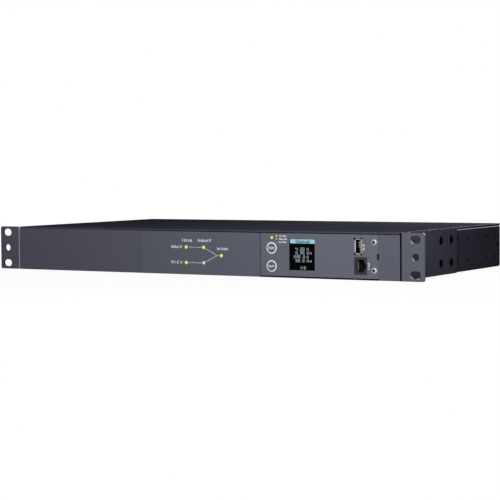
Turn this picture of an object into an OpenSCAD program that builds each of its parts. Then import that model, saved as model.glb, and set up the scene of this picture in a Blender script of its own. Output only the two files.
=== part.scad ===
// Rack-mounted transfer switch, one rack unit high: two mains inlets, eight outlets, a status panel
// with a slide-in display module, and a folded steel case hung on two rack ears.
// Frame: X to the right, Y to the back, Z up. Y = 0 is the front face of the rack ears, X = 0 the
// middle of the width and Z = 0 the middle of the rack unit's height.

/* [Case] */
// Width of the case
body_w = 432; // [428:1:438]
// Depth from the front face to the back of the cover
body_d = 241.5; // [236:0.5:260]
// Height of the case
body_h = 44; // [43.6:0.2:44.4]
// Steel sheet of the tray
sheet_t = 1.2; // [1:0.1:1.5]
// Steel sheet of the cover
cover_t = 1.5; // [1.2:0.1:1.8]
// Outside radius of the tray's bends
bend_r = 2; // [1.8:0.1:3]
// Width of the tray's lips that carry the cover
lip_w = 10; // [8:0.5:14]
// Drop of the cover's rear flange
cover_drop = 8; // [7:0.5:9]
// Rounding of the cover's long edges
cover_edge_r = 0.9; // [0.4:0.1:1]

/* [Rack ears] */
// Width over the two ears
ear_span = 482.6; // [480:0.2:484]
// Height of an ear
ear_h = 43.8; // [43:0.1:44]
// Steel sheet of the ears
ear_t = 2; // [1.6:0.1:2.5]
// Outside radius of the ear's bend
ear_bend_r = 2.8; // [2.6:0.1:3.5]
// Length of the flange along the side of the case
ear_flange_l = 126; // [122:0.5:129.5]
// Corner rounding of the ears
ear_corner_r = 2; // [1:0.25:3]
// Distance from an ear's outer edge to the middle of its slots
slot_inset = 8.75; // [8:0.05:9.5]
// Distance between the upper and the lower slots
slot_pitch_z = 31.75; // [31:0.05:32]
// Length of a rack slot
slot_l = 10.2; // [9:0.1:11]
// Width of a rack slot
slot_w = 7.2; // [6.6:0.1:7.6]
// Diameter of the ear's middle hole
ear_hole_d = 7; // [6:0.1:8]

/* [Side holes] */
// Place of the first column of ear screws
side_y = 88.4; // [86:0.2:92]
// Pitch of the side holes along the case
side_pitch = 23.9; // [23:0.1:24.5]
// Distance between the upper and the lower row of side holes
side_rows = 21.6; // [20:0.1:24]
// Place of the second pair of columns
side_mid_y = 132.2; // [131.8:0.1:135]
// Distance from the back edge of the case to the third pair of columns
side_rear_inset = 38; // [36:0.1:42]
// Core diameter of the tapped holes
tap_d = 3.3; // [3.2:0.1:3.5]
// Length of the slot near the back edge
side_slot_l = 7; // [5:0.2:8]
// Height of that slot
side_slot_h = 6.4; // [4.5:0.2:8]

/* [Front panel] */
// Thickness of the front panel
panel_t = 2; // [1.5:0.1:2.5]
// Gap between the panel's top edge and the cover
panel_top_gap = 0.8; // [0.3:0.1:1]
// Depth of the flange along the panel's foot
panel_flange = 14; // [12:0.5:18]
// Thickness of the printed film
film_t = 0.25; // [0.15:0.05:0.4]
// Width of the printed film
film_w = 137.4; // [130:0.2:140]
// Diameter of the signal lamps
lamp_d = 3.4; // [3:0.1:4]
// Distance between the lamps' columns
lamp_pitch_x = 20; // [18:0.1:22]
// Distance between the lamps' rows
lamp_pitch_z = 15.1; // [13:0.1:17]
// Distance from the film's right edge to the output lamp
lamp_inset = 42.6; // [38:0.2:46]
// Distance of the lamps' middle line below the middle of the case
lamp_drop = 2.8; // [0:0.1:4]

/* [Display module] */
// Width of the opening for the module
bay_w = 124.7; // [124:0.1:126]
// Distance from the opening to the right side of the case
bay_inset = 19.8; // [18:0.1:21]
// Gap left of the module
module_gap_left = 0.7; // [0.4:0.1:1]
// Gap under the module
module_gap_foot = 0.3; // [0.2:0.1:1]
// Gap right of the module
module_gap_right = 0.3; // [0.2:0.1:0.5]
// Depth of the module's tray
module_d = 52; // [44:1:70]
// Distance between the two module screws
module_screw_pitch = 25.8; // [24:0.1:30]
// Distance of the module screws from the module's right edge
module_screw_inset = 4.2; // [3.6:0.1:5]
// Width of the display window
lcd_w = 27.1; // [25:0.1:28]
// Height of the display window
lcd_h = 29.3; // [27:0.1:31]
// Distance from the module's left edge to the display window
lcd_inset = 30.8; // [29.5:0.1:33]
// Distance from the module's left edge to the buttons
button_inset = 11.9; // [11:0.1:12.5]
// Distance between the two buttons
button_pitch = 17; // [16:0.1:19]
// Height of the buttons' middle below the middle of the case
button_drop = 2.8; // [1:0.1:4]
// Diameter of a button
button_d = 8.6; // [8:0.1:9.6]
// Clearance round a button
button_gap = 0.3; // [0.2:0.05:0.4]
// Travel of a button
button_travel = 0.6; // [0.4:0.1:0.8]
// Diameter of the status light
status_d = 2.8; // [2.4:0.1:3.2]

/* [Ports] */
// Distance from the module's right edge to the middle of the upright USB port
usb_inset = 20.8; // [20:0.1:22]
// Height of the USB port's middle above the middle of the case
usb_rise = 8.8; // [8.5:0.1:9.5]
// Inside width of the USB shell
usb_w = 5.1; // [5:0.05:5.2]
// Inside height of the USB shell
usb_h = 12.5; // [12.3:0.1:12.7]
// Width of the network jack
jack_w = 13.1; // [12.8:0.1:13.5]
// Height of the network jack
jack_h = 15.9; // [15.5:0.1:16.2]
// Distance of the jack's middle below the middle of the case
jack_drop = 9.1; // [8.8:0.1:9.6]

/* [Back] */
// Pitch of the outlets
outlet_pitch = 32.6; // [32.2:0.1:33]
// Distance from the case's side to the middle of the first outlet
outlet_inset = 21; // [20:0.2:22]
// Drop of the sockets below the middle of the case
socket_drop = 3; // [1:0.2:4]
// Width of a socket's flange
socket_w = 31.6; // [31:0.1:32]
// Height of a socket's flange
socket_h = 25.2; // [24.6:0.1:26]
// Depth of a socket's housing behind the wall
socket_d = 26; // [24:0.5:28]
// Pitch of the two inlets
inlet_pitch = 48; // [44:0.5:50]
// Distance from the case's side to the middle of the nearer inlet
inlet_inset = 40; // [38:0.5:42]
// Pitch of the two circuit breakers
breaker_pitch = 21; // [19:0.5:22]
// Diameter of a reset button
reset_d = 6.4; // [6:0.1:6.8]
// Travel of a reset button when it trips
reset_travel = 3.5; // [3:0.1:4]

/* [Boards] */
// Thickness of the circuit boards
board_t = 1.6; // [1.2:0.1:2]
// Width of the main board
main_w = 370; // [350:1:376]
// Depth of the main board
main_d = 118; // [116:1:122]
// Gap between the main board and the outlet board
main_gap = 14; // [12:0.5:16]
// Height of the spacers under the main board
spacer_h = 7; // [5:0.5:8]

/* [Inner parts] */
// Number of fins on the heat sink
fin_count = 14; // [8:1:18]
// Height of the heat sink
fin_h = 18; // [12:0.5:20]
// Depth of the heat sink
sink_d = 44; // [40:1:50]
// Width of a thyristor module
thyristor_w = 26; // [22:1:28]
// Depth of a thyristor module
thyristor_d = 38; // [34:1:40]
// Height of a thyristor module
thyristor_h = 10; // [8:0.5:12]
// Pitch of the thyristor modules
thyristor_pitch = 32; // [30:1:36]
// Width of a transfer relay
relay_w = 20; // [16:0.5:22]
// Depth of a transfer relay
relay_d = 30; // [26:0.5:32]
// Height of a transfer relay
relay_h = 22; // [16:0.5:24]
// Pitch of the transfer relays
relay_pitch = 26; // [24:0.5:28]
// Width of the transformer's core
core_w = 36; // [30:1:40]
// Height of the transformer's core
core_h = 28; // [24:0.5:29]
// Thickness of the transformer's core
core_t = 18; // [14:0.5:20]
// Diameter of a capacitor
cap_d = 18; // [14:0.5:20]
// Height of a capacitor
cap_h = 25.2; // [20:0.2:28]
// Pitch of the capacitors
cap_pitch = 24; // [22:0.5:28]
// Width of a terminal block
terminal_w = 25; // [24:0.2:27]
// Depth of a terminal block
terminal_d = 11.8; // [10:0.2:12]
// Height of a terminal block
terminal_h = 13; // [12:0.2:15]
// Outside diameter of a current sensor
sensor_d = 22; // [18:0.2:24]
// Thickness of a current sensor
sensor_t = 9; // [7:0.2:11]

/* [Hidden] */
$fn = 48;
eps = 0.01;

// Levels and side faces of the case
z_foot = -body_h/2;
z_floor = z_foot + sheet_t;
z_lip = body_h/2 - cover_t;
x_side = body_w/2;
x_inner = x_side - sheet_t;
y_wall = body_d - cover_t;
y_wall_in = y_wall - sheet_t;
y_tray = panel_t + 0.2;
side_rear_y = body_d - side_rear_inset;
slot_pitch_x = ear_span - 2*slot_inset;

// Screws: core, head and clearance radii
tap_r = tap_d/2;
core_r = tap_r - 0.05;
csk_head_r = 4;
csk_depth = 1.9;
csk_hole_r = 2.2;
small_core_r = 1.2;
small_hole_r = 1.25;
small_head_r = 2.6;
ear_screw_l = 7;
module_screw_l = 7;

// Front panel and its opening
panel_end_gap = 0.8;
panel_top = z_lip - panel_top_gap;
panel_foot = z_foot + 0.1;
bay_right = x_side - bay_inset;
bay_left = bay_right - bay_w;
flange_t = 1.5;
panel_screw_xs = [-180, -60, 50, 205];
panel_screw_y = panel_t + panel_flange - 5;

// Film and lamps
film_right = bay_left - 0.3;
film_left = film_right - film_w;
lamp_x = film_right - lamp_inset;
lamps = [
    [lamp_x, -lamp_drop],
    [lamp_x - lamp_pitch_x, -lamp_drop + lamp_pitch_z/2],
    [lamp_x - lamp_pitch_x, -lamp_drop - lamp_pitch_z/2],
    [lamp_x - 2*lamp_pitch_x, -lamp_drop + lamp_pitch_z/2],
    [lamp_x - 2*lamp_pitch_x, -lamp_drop - lamp_pitch_z/2]
];
lamp_gap = 0.05;
lamp_proud = 0.4;
mimic_back = 8;
mimic_w = 2*lamp_pitch_x + 30;
mimic_h = lamp_pitch_z + 12;
mimic_studs = [for (x = [-mimic_w/2 + 4, mimic_w/2 - 4], z = [-mimic_h/2 + 3, mimic_h/2 - 3])
    [lamp_x - lamp_pitch_x + x, -lamp_drop + z]];

// Module front
module_left = bay_left + module_gap_left;
module_right = bay_right - module_gap_right;
module_foot = z_floor + module_gap_foot;
module_top = panel_top;
lcd_left = module_left + lcd_inset;
button_x = module_left + button_inset;
button_zs = [-button_drop + button_pitch/2, -button_drop - button_pitch/2];
status_pos = [button_x + 0.3, button_zs[0] + 9.8];
module_screw_x = module_right - module_screw_inset;
usb_x = module_right - usb_inset;
jack_x = usb_x + 2.4;
board_front = 16;
port_back = board_front - 0.05;
usb_t = 0.35;
usb_lip = 0.6;
port_gap = 0.2;
module_board_h = 34;
module_board_margin = 3.2;
module_board_reach = 6.2;
cable_inset = 40;
cable_w = 18;
cable_t = 0.8;
cable_plug_w = 24;
cable_plug_d = 8;
cable_plug_h = 6;
cable_socket_d = 6;
cable_socket_inset = 4;

// Back wall
outlet_xs = [for (i = [0:7]) -x_side + outlet_inset + i*outlet_pitch];
inlet_xs = [x_side - inlet_inset - inlet_pitch, x_side - inlet_inset];
breaker_x = (outlet_xs[7] + inlet_xs[0])/2;
breaker_xs = [breaker_x - breaker_pitch/2, breaker_x + breaker_pitch/2];
ground_pos = [inlet_xs[1] + socket_w/2 + 11, -10];
socket_z = -socket_drop;
socket_flange_t = 1.8;
socket_body_w = socket_w - 1.8;
socket_body_h = socket_h - 2.6;
socket_gap = 0.2;
plug_w = 23.8;
plug_h = 16.2;
plug_cut = 4.4;
groove = 2;
well_gap = 0.4;
slot_face_t = 4;
well_d = 17;
pins = [[-7, -2], [0, 2], [7, -2]];
pin_tab_y = y_wall - socket_d - 5;
neck_r = 5.4;
neck_l = 5;
reset_gap = 0.25;
cover_screw_xs = [-190, -64, 64, 190];

// Inside
outlet_board_y = y_wall - socket_d - 4;
main_x = 8;
main_y = outlet_board_y - main_gap - main_d;
main_z = z_floor + spacer_h;
main_top = main_z + board_t;
sink_margin = 4;
sink_y = main_y + main_d*0.36;
sink_left = main_x - main_w/2 + 21;
thyristor_xs = [for (i = [0:3]) sink_left + sink_margin + thyristor_w/2 + i*thyristor_pitch];
relay_left = main_x + 4;
rear_row_y = main_y + main_d/2;
front_row_y = main_y + main_d*0.22;
core_x = main_x + main_w*0.09;
cap_right = main_x + main_w/2 - 20;
terminal_xs = [inlet_xs[0], inlet_xs[1], sink_left + 69];
wire_z = main_top + 6.5;
wire_r = 1.5;
wire_gap = 0.75;
wire_lead = 10;
spacers = [for (x = [-1, 0, 1], y = [6, main_d*0.8]) [main_x + x*(main_w/2 - 8), main_y + y]];

// Helpers: a plate standing across the case, one standing along it, and common outlines.
module across(y0, y1) {
    translate([0, y1, 0])
        rotate([90, 0, 0])
            linear_extrude(y1 - y0)
                children();
}

module along(x0, x1) {
    translate([x0, 0, 0])
        rotate([90, 0, 90])
            linear_extrude(x1 - x0)
                children();
}

module flat(z0, z1) {
    translate([0, 0, z0])
        linear_extrude(z1 - z0)
            children();
}

module box(x0, x1, y0, y1, z0, z1) {
    translate([x0, y0, z0])
        cube([x1 - x0, y1 - y0, z1 - z0]);
}

module rect(x0, x1, y0, y1) {
    translate([x0, y0])
        square([x1 - x0, y1 - y0]);
}

module round_rect(w, h, r) {
    square([w - 2*r, h], center = true);
    square([w, h - 2*r], center = true);
    for (x = [-1, 1], y = [-1, 1])
        translate([x*(w/2 - r), y*(h/2 - r)])
            circle(r);
}

module long_slot(l, w) {
    square([l - w, w], center = true);
    for (x = [-1, 1])
        translate([x*(l - w)/2, 0])
            circle(w/2);
}

// Rod along Y from y0 to y1
module rod(x, z, r, y0, y1) {
    translate([x, y1, z])
        rotate([90, 0, 0])
            cylinder(r = r, h = y1 - y0);
}

// Cross recess of a screw head, cut down along Z from the head's top
module cross_recess(size, depth) {
    for (a = [45, 135])
        rotate([0, 0, a])
            translate([-size/2, -size/10, -depth])
                cube([size, size/5, depth + 1]);
}

// Countersunk screw, its head's top at the origin and its tip down -Z
module flat_screw(head_r, core, head_h, l) {
    difference() {
        union() {
            translate([0, 0, -head_h])
                cylinder(r1 = core, r2 = head_r, h = head_h);
            translate([0, 0, -l])
                cylinder(r = core, h = l);
        }
        cross_recess(head_r*1.15, head_h*0.6);
    }
}

// Screw with a domed head that stands on the origin's plane
module pan_screw(head_r, core, head_h, l) {
    difference() {
        union() {
            intersection() {
                cylinder(r = head_r, h = head_h);
                translate([0, 0, head_h - head_r*1.6])
                    sphere(head_r*1.6);
            }
            translate([0, 0, -l])
                cylinder(r = core, h = l + head_h/2);
        }
        translate([0, 0, head_h])
            cross_recess(head_r*1.2, head_h*0.6);
    }
}

// Outline shared by the appliance sockets: a rectangle with two cut corners
module socket_outline(grow) {
    w = plug_w/2 + grow;
    h = plug_h/2 + grow;
    cut = plug_cut + grow*0.6;
    polygon([[-w, -h], [w, -h], [w, h - cut], [w - cut, h], [-w + cut, h], [-w, h - cut]]);
}

// Case
module side_hole_places() {
    for (y = [side_y, side_y + side_pitch, side_mid_y, side_mid_y + side_pitch,
              side_rear_y, side_rear_y + side_pitch],
         z = [-side_rows/2, side_rows/2])
        translate([y, z])
            children();
}

module tray_section() {
    difference() {
        translate([0, (z_foot + z_lip)/2])
            round_rect(body_w, z_lip - z_foot, bend_r);
        translate([0, (z_floor + z_lip - sheet_t)/2])
            round_rect(body_w - 2*sheet_t, z_lip - sheet_t - z_floor, bend_r - sheet_t);
        rect(-x_side + lip_w, x_side - lip_w, 0, z_lip + 1);
    }
}

module back_cutouts() {
    for (x = outlet_xs)
        translate([x, socket_z])
            square([socket_body_w + socket_gap, socket_body_h + socket_gap], center = true);
    for (x = inlet_xs)
        translate([x, socket_z])
            square([socket_body_w + socket_gap, socket_body_h + socket_gap], center = true);
    for (x = breaker_xs)
        translate([x, socket_z])
            circle(neck_r + 0.2);
    translate(ground_pos)
        circle(tap_r + 0.4);
    for (x = cover_screw_xs)
        translate([x, body_h/2 - cover_drop/2 - 0.6])
            circle(small_hole_r);
}

module chassis_tray() {
    color([0.15, 0.15, 0.18])
    difference() {
        union() {
            across(y_tray, y_wall)
                tray_section();
            across(y_wall_in, y_wall)
                rect(-x_inner - eps, x_inner + eps, z_floor - eps, z_lip - sheet_t + eps);
            box(bay_left + 0.3, bay_right - 0.3, 0.1, y_tray + 1, z_foot, z_floor);
        }
        across(y_wall_in - 1, y_wall + 1)
            back_cutouts();
        along(-x_side - 1, x_side + 1)
            side_hole_places()
                circle(tap_r);
        along(-x_side - 1, x_side + 1)
            translate([y_wall_in - side_slot_l/2 - 1, 0])
                long_slot(side_slot_l, side_slot_h);
        for (x = panel_screw_xs)
            translate([x, panel_screw_y, z_foot - eps]) {
                cylinder(r = 1.7, h = sheet_t + 1);
                cylinder(r1 = 3, r2 = 1.7, h = 1);
            }
        for (p = spacers)
            translate([p[0], p[1], z_foot - 1])
                cylinder(r = small_hole_r, h = sheet_t + 2);
    }
}

module top_cover() {
    color([0.16, 0.16, 0.18])
    difference() {
        union() {
            across(0.5, body_d)
                translate([0, body_h/2 - cover_t/2])
                    difference() {
                        square([body_w, cover_t], center = true);
                        for (s = [-1, 1])
                            translate([s*(body_w/2 - cover_edge_r), cover_t/2 - cover_edge_r])
                                difference() {
                                    rect(min(0, s)*2*cover_edge_r, max(0, s)*2*cover_edge_r,
                                         0, 2*cover_edge_r);
                                    circle(cover_edge_r);
                                }
                    }
            across(y_wall, body_d)
                rect(-x_side + 1.5, x_side - 1.5, body_h/2 - cover_drop, body_h/2 - cover_t + eps);
        }
        for (x = cover_screw_xs)
            rod(x, body_h/2 - cover_drop/2 - 0.6, small_hole_r + 0.2, y_wall - 1, body_d + 1);
    }
}

module cover_screws() {
    color([0.2, 0.2, 0.22])
    for (x = cover_screw_xs)
        translate([x, body_d, body_h/2 - cover_drop/2 - 0.6])
            rotate([-90, 0, 0])
                pan_screw(small_head_r, small_core_r, 1.8, 5);
}

// Front panel: its bay is open above and below, and a foot flange on the tray's floor ties the two
// sides of the bay together. Studs behind it carry the lamp board.
module front_panel() {
    color([0.28, 0.28, 0.33])
    difference() {
        union() {
            across(0, panel_t)
                difference() {
                    rect(-x_side + panel_end_gap, x_side - panel_end_gap, panel_foot, panel_top);
                    rect(bay_left, bay_right, panel_foot - 1, panel_top + 1);
                    for (p = lamps)
                        translate(p)
                            circle(lamp_d/2 + lamp_gap);
                }
            box(-x_side + 4, x_side - 4, y_tray, panel_t + panel_flange, z_floor, z_floor + flange_t);
            box(-x_side + 4, bay_left, panel_t/2, y_tray + 1, z_floor, z_floor + flange_t);
            box(bay_right, x_side - 4, panel_t/2, y_tray + 1, z_floor, z_floor + flange_t);
            for (p = mimic_studs)
                rod(p[0], p[1], 1.6, panel_t/2, mimic_back);
        }
        for (x = panel_screw_xs)
            translate([x, panel_screw_y, z_floor - 1])
                cylinder(r = small_hole_r, h = flange_t + 2);
    }
}

module panel_screws() {
    color([0.2, 0.2, 0.22])
    for (x = panel_screw_xs)
        translate([x, panel_screw_y, z_foot + 0.05])
            rotate([180, 0, 0])
                flat_screw(2.75, small_core_r, 0.9, 4.5);
}

module mimic_overlay() {
    color([0.33, 0.33, 0.38])
    across(-film_t, 0)
        difference() {
            rect(film_left, film_right, panel_foot + 0.5, panel_top - 0.4);
            for (p = lamps)
                translate(p)
                    circle(lamp_d/2 + lamp_gap);
        }
}

module mimic_lamps() {
    color([0.5, 1, 0.3])
    for (p = lamps)
        translate([p[0], -lamp_proud, p[1]])
            rotate([-90, 0, 0])
                union() {
                    translate([0, 0, 0.5])
                        cylinder(r = lamp_d/2, h = mimic_back + lamp_proud - 0.5);
                    cylinder(r1 = lamp_d/2 - 0.4, r2 = lamp_d/2, h = 0.5);
                    translate([0, 0, mimic_back + lamp_proud - 3])
                        cylinder(r = lamp_d/2 + 0.5, h = 3);
                }
}

module mimic_board() {
    color([0.05, 0.3, 0.15])
    across(mimic_back, mimic_back + board_t)
        translate([lamp_x - lamp_pitch_x, -lamp_drop])
            difference() {
                round_rect(mimic_w, mimic_h, 1.5);
                translate([0, mimic_h/2 - 3])
                    circle(1.2);
            }
}

// Rack ears: an angle of sheet, folded round the case's front corner
module ear_section() {
    rect(0, ear_t, ear_bend_r, ear_flange_l);
    rect(ear_bend_r, ear_span/2 - x_side, 0, ear_t);
    translate([ear_bend_r, ear_bend_r])
        intersection() {
            difference() {
                circle(ear_bend_r);
                circle(ear_bend_r - ear_t);
            }
            rect(-ear_bend_r - 1, 0, -ear_bend_r - 1, 0);
        }
}

module rack_ear() {
    difference() {
        translate([x_side, 0, 0])
            flat(-ear_h/2, ear_h/2)
                ear_section();
        across(-1, ear_t + 1) {
            for (z = [-1, 1])
                translate([slot_pitch_x/2, z*slot_pitch_z/2])
                    long_slot(slot_l, slot_w);
            translate([slot_pitch_x/2, 0])
                circle(ear_hole_d/2);
            for (z = [-1, 1])
                translate([ear_span/2 - ear_corner_r, z*(ear_h/2 - ear_corner_r)])
                    difference() {
                        rect(0, 2*ear_corner_r, min(0, z)*2*ear_corner_r, max(0, z)*2*ear_corner_r);
                        circle(ear_corner_r);
                    }
        }
        along(x_side - 1, x_side + ear_t + 1)
            for (z = [-1, 1])
                translate([ear_flange_l - ear_corner_r, z*(ear_h/2 - ear_corner_r)])
                    difference() {
                        rect(0, 2*ear_corner_r, min(0, z)*2*ear_corner_r, max(0, z)*2*ear_corner_r);
                        circle(ear_corner_r);
                    }
        ear_screw_places() {
            translate([0, 0, -ear_t - 1])
                cylinder(r = csk_hole_r, h = ear_t + 2);
            translate([0, 0, -csk_depth])
                cylinder(r1 = csk_hole_r, r2 = csk_head_r + 0.2, h = csk_depth + eps);
        }
    }
}

// Each ear screw's place on the right side: the origin on the flange's outer face, +Z outwards
module ear_screw_places() {
    for (y = [side_y, side_y + side_pitch], z = [-side_rows/2, side_rows/2])
        translate([x_side + ear_t, y, z])
            rotate([0, 90, 0])
                children();
}

module rack_ear_right() {
    color([0.3, 0.3, 0.35])
    rack_ear();
}

module rack_ear_left() {
    color([0.3, 0.3, 0.35])
    mirror([1, 0, 0])
        rack_ear();
}

module ear_screws() {
    color([0.08, 0.08, 0.09])
    for (s = [0, 1])
        mirror([s, 0, 0])
            ear_screw_places()
                translate([0, 0, -0.1])
                    flat_screw(csk_head_r, core_r, csk_depth - 0.1, ear_screw_l);
}

// Display module
module module_plate() {
    color([0.4, 0.4, 0.45])
    across(0, panel_t)
        difference() {
            translate([(module_left + module_right)/2, (module_foot + module_top)/2])
                round_rect(module_right - module_left, module_top - module_foot, 0.5);
            rect(lcd_left, lcd_left + lcd_w, -lcd_h/2, lcd_h/2);
            for (z = button_zs)
                translate([button_x, z])
                    circle(button_d/2 + button_gap);
            translate(status_pos)
                circle(status_d/2 + 0.05);
            for (z = [-1, 1])
                translate([module_screw_x, z*module_screw_pitch/2])
                    circle(1.9);
            translate([usb_x, usb_rise])
                square([usb_w + 2*(usb_t + usb_lip) + 2*port_gap,
                        usb_h + 2*(usb_t + usb_lip) + 2*port_gap], center = true);
            translate([jack_x, -jack_drop])
                square([jack_w + port_gap, jack_h + port_gap], center = true);
            translate([module_right, -0.4])
                square([3.8, 5.4], center = true);
        }
}

module module_tray() {
    color([0.7, 0.7, 0.72])
    difference() {
        union() {
            box(module_left + 2, module_screw_x - 5, panel_t, module_d,
                z_floor + flange_t + 0.2, z_floor + flange_t + 1.2);
            box(module_left + 2, module_left + 3, panel_t, module_d,
                z_floor + flange_t + 0.2, panel_top - 2);
            box(module_screw_x - 6, module_screw_x - 5, panel_t, module_d,
                z_floor + flange_t + 0.2, panel_top - 2);
            box(module_left - 6, module_left + 3, panel_t + 0.2, panel_t + 1.2, -14, 14);
            for (x = [module_left + 3, module_screw_x - 11], z = [-12, 8])
                box(x - eps, x + 5 + eps, board_front + board_t, board_front + board_t + 1, z, z + 6);
        }
        for (i = [0:5])
            translate([module_left + 20 + i*16, 0, 0])
                flat(z_floor, z_floor + flange_t + 2)
                    translate([0, module_d*0.7])
                        rotate([0, 0, 90])
                            long_slot(22, 6);
    }
}

// Plate behind the panel that takes the module's screws
module module_bracket() {
    color([0.7, 0.7, 0.72])
    across(panel_t, panel_t + 1.5)
        difference() {
            rect(module_screw_x - 4, x_side - 6, -18.5, 18.5);
            for (z = [-1, 1])
                translate([module_screw_x, z*module_screw_pitch/2])
                    circle(small_hole_r);
        }
}

module module_screws() {
    color([0.85, 0.85, 0.87])
    for (z = [-1, 1])
        translate([module_screw_x, 0, z*module_screw_pitch/2])
            rotate([90, 0, 0])
                pan_screw(2.9, small_core_r, 1.6, module_screw_l);
}

module module_board() {
    color([0.05, 0.3, 0.15])
    across(board_front, board_front + board_t)
        rect(module_left + module_board_margin, module_screw_x - module_board_reach,
             -module_board_h/2, module_board_h/2);
}

module lcd_window() {
    color([0.05, 0.05, 0.06, 0.5])
    union() {
        across(0.3, panel_t)
            translate([lcd_left + lcd_w/2, 0])
                square([lcd_w - 0.2, lcd_h - 0.2], center = true);
        across(panel_t, panel_t + 0.8)
            translate([lcd_left + lcd_w/2, 0])
                square([lcd_w + 4, lcd_h + 4], center = true);
    }
}

module lcd_display() {
    color([0.03, 0.03, 0.04])
    union() {
        across(panel_t + 0.9, panel_t + 6)
            translate([lcd_left + lcd_w/2, 0])
                round_rect(lcd_w + 5, lcd_h + 4, 0.6);
        for (x = [-1, 1], z = [-1, 1])
            rod(lcd_left + lcd_w/2 + x*(lcd_w/2), z*(lcd_h/2 - 1), 1.2, panel_t + 5.5, board_front);
    }
}

module status_light() {
    color([0.5, 1, 0.3])
    union() {
        rod(status_pos[0], status_pos[1], status_d/2, -0.4, board_front);
        rod(status_pos[0], status_pos[1], status_d/2 + 0.8, panel_t + 0.1, panel_t + 1.2);
    }
}

// Push button: domed cap, a collar that keeps it in and a stem that ends in its switch
module push_button(z) {
    translate([button_x, -0.8, z])
        rotate([-90, 0, 0])
            union() {
                intersection() {
                    cylinder(r = button_d/2, h = 4);
                    translate([0, 0, 40])
                        sphere(40, $fn = 128);
                }
                translate([0, 0, panel_t + 0.8 + button_gap])
                    cylinder(r = button_d/2 + 0.9, h = 1);
                translate([0, 0, 3])
                    cylinder(r = 2, h = board_front - 5.4);
                translate([0, 0, 3])
                    cylinder(r = 1.4, h = board_front - 3.6);
            }
}

module select_button() {
    color([0.38, 0.38, 0.44])
    push_button(button_zs[0]);
}

module enter_button() {
    color([0.38, 0.38, 0.44])
    push_button(button_zs[1]);
}

module button_switches() {
    color([0.06, 0.06, 0.07])
    for (z = button_zs)
        difference() {
            across(board_front - 2.6 + button_travel - 0.3, board_front)
                translate([button_x, z])
                    square([6, 6], center = true);
            rod(button_x, z, 1.7, 0, board_front - 0.4);
        }
}

// USB port: drawn shell with flared lips, a tongue and four contact strips
module usb_shell() {
    w = usb_w/2 + usb_t;
    h = usb_h/2 + usb_t;
    color([0.8, 0.8, 0.82])
    translate([usb_x, 0, usb_rise])
        union() {
            across(0.3, port_back)
                difference() {
                    square([2*w, 2*h], center = true);
                    square([usb_w, usb_h], center = true);
                }
            for (s = [0, 1])
                mirror([s, 0, 0])
                    flat(-usb_h/2 + 1, usb_h/2 - 1)
                        polygon([[w - usb_t, 0.9], [w - usb_t, 0.4], [w + usb_lip - usb_t/2, -0.3],
                                 [w + usb_lip, 0], [w, 0.9]]);
            for (s = [0, 1])
                mirror([0, 0, s])
                    along(-usb_w/2 + 0.6, usb_w/2 - 0.6)
                        polygon([[0.9, h - usb_t], [0.4, h - usb_t], [-0.3, h + usb_lip - usb_t/2],
                                 [0, h + usb_lip], [0.9, h]]);
            across(port_back - 1, port_back)
                square([2*w - eps, 2*h - eps], center = true);
        }
}

module usb_tongue() {
    color([0.85, 0.85, 0.83])
    box(usb_x + 0.35, usb_x + 2.15, 2.2, port_back - 1, usb_rise - 5.5, usb_rise + 5.5);
}

module usb_contacts() {
    color([0.85, 0.68, 0.35])
    for (z = [-3.5, -1, 1, 3.5])
        union() {
            box(usb_x + 0.05, usb_x + 0.35, 1.7, port_back - 1, usb_rise + z - 0.5, usb_rise + z + 0.5);
            box(usb_x + 0.05, usb_x + 1.9, 1.7, 2.2, usb_rise + z - 0.5, usb_rise + z + 0.5);
        }
}

// Network jack on its side: the contacts at the left, the latch notch at the right
module jack_housing() {
    mouth_left = jack_x - jack_w/2 + 3.6;
    color([0.2, 0.2, 0.22])
    difference() {
        across(-0.1, port_back)
            translate([jack_x, -jack_drop])
                square([jack_w, jack_h], center = true);
        across(-1, port_back - 2)
            translate([0, -jack_drop]) {
                rect(mouth_left, mouth_left + 6.6, -6, 6);
                rect(mouth_left + 6.5, mouth_left + 7.6, -3.2, 3.2);
                rect(mouth_left + 7.5, mouth_left + 8.5, -1.7, 1.7);
            }
        across(1.2, port_back - 2)
            rect(mouth_left - 1.6, mouth_left + 0.1, -jack_drop - 4.6, -jack_drop + 4.6);
    }
}

module jack_contacts() {
    mouth_left = jack_x - jack_w/2 + 3.6;
    color([0.85, 0.68, 0.35])
    for (i = [0:7])
        translate([0, 0, -jack_drop + (i - 3.5)*1.02 - 0.2])
            flat(0, 0.4)
                polygon([[mouth_left - 1.3, 2], [mouth_left - 0.9, 2], [mouth_left + 2.2, port_back - 4],
                         [mouth_left - 1.3, port_back - 4], [mouth_left - 1.3, port_back - 4.5],
                         [mouth_left + 1.1, port_back - 4.5], [mouth_left - 1.3, 2.6]]);
}

// Flat cable from the module to the main board
module module_cable() {
    x = module_left + cable_inset;
    y0 = board_front + board_t;
    y1 = main_y + cable_socket_inset;
    color([0.6, 0.6, 0.62])
    translate([x, 0, main_top + cable_plug_h/2])
        union() {
            across(y0, y0 + cable_plug_d)
                square([cable_plug_w, cable_plug_h], center = true);
            across(y0 + cable_plug_d - eps, y1 + eps)
                square([cable_w, cable_t], center = true);
            across(y1, y1 + cable_socket_d)
                square([cable_plug_w, cable_plug_h], center = true);
        }
}

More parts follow.
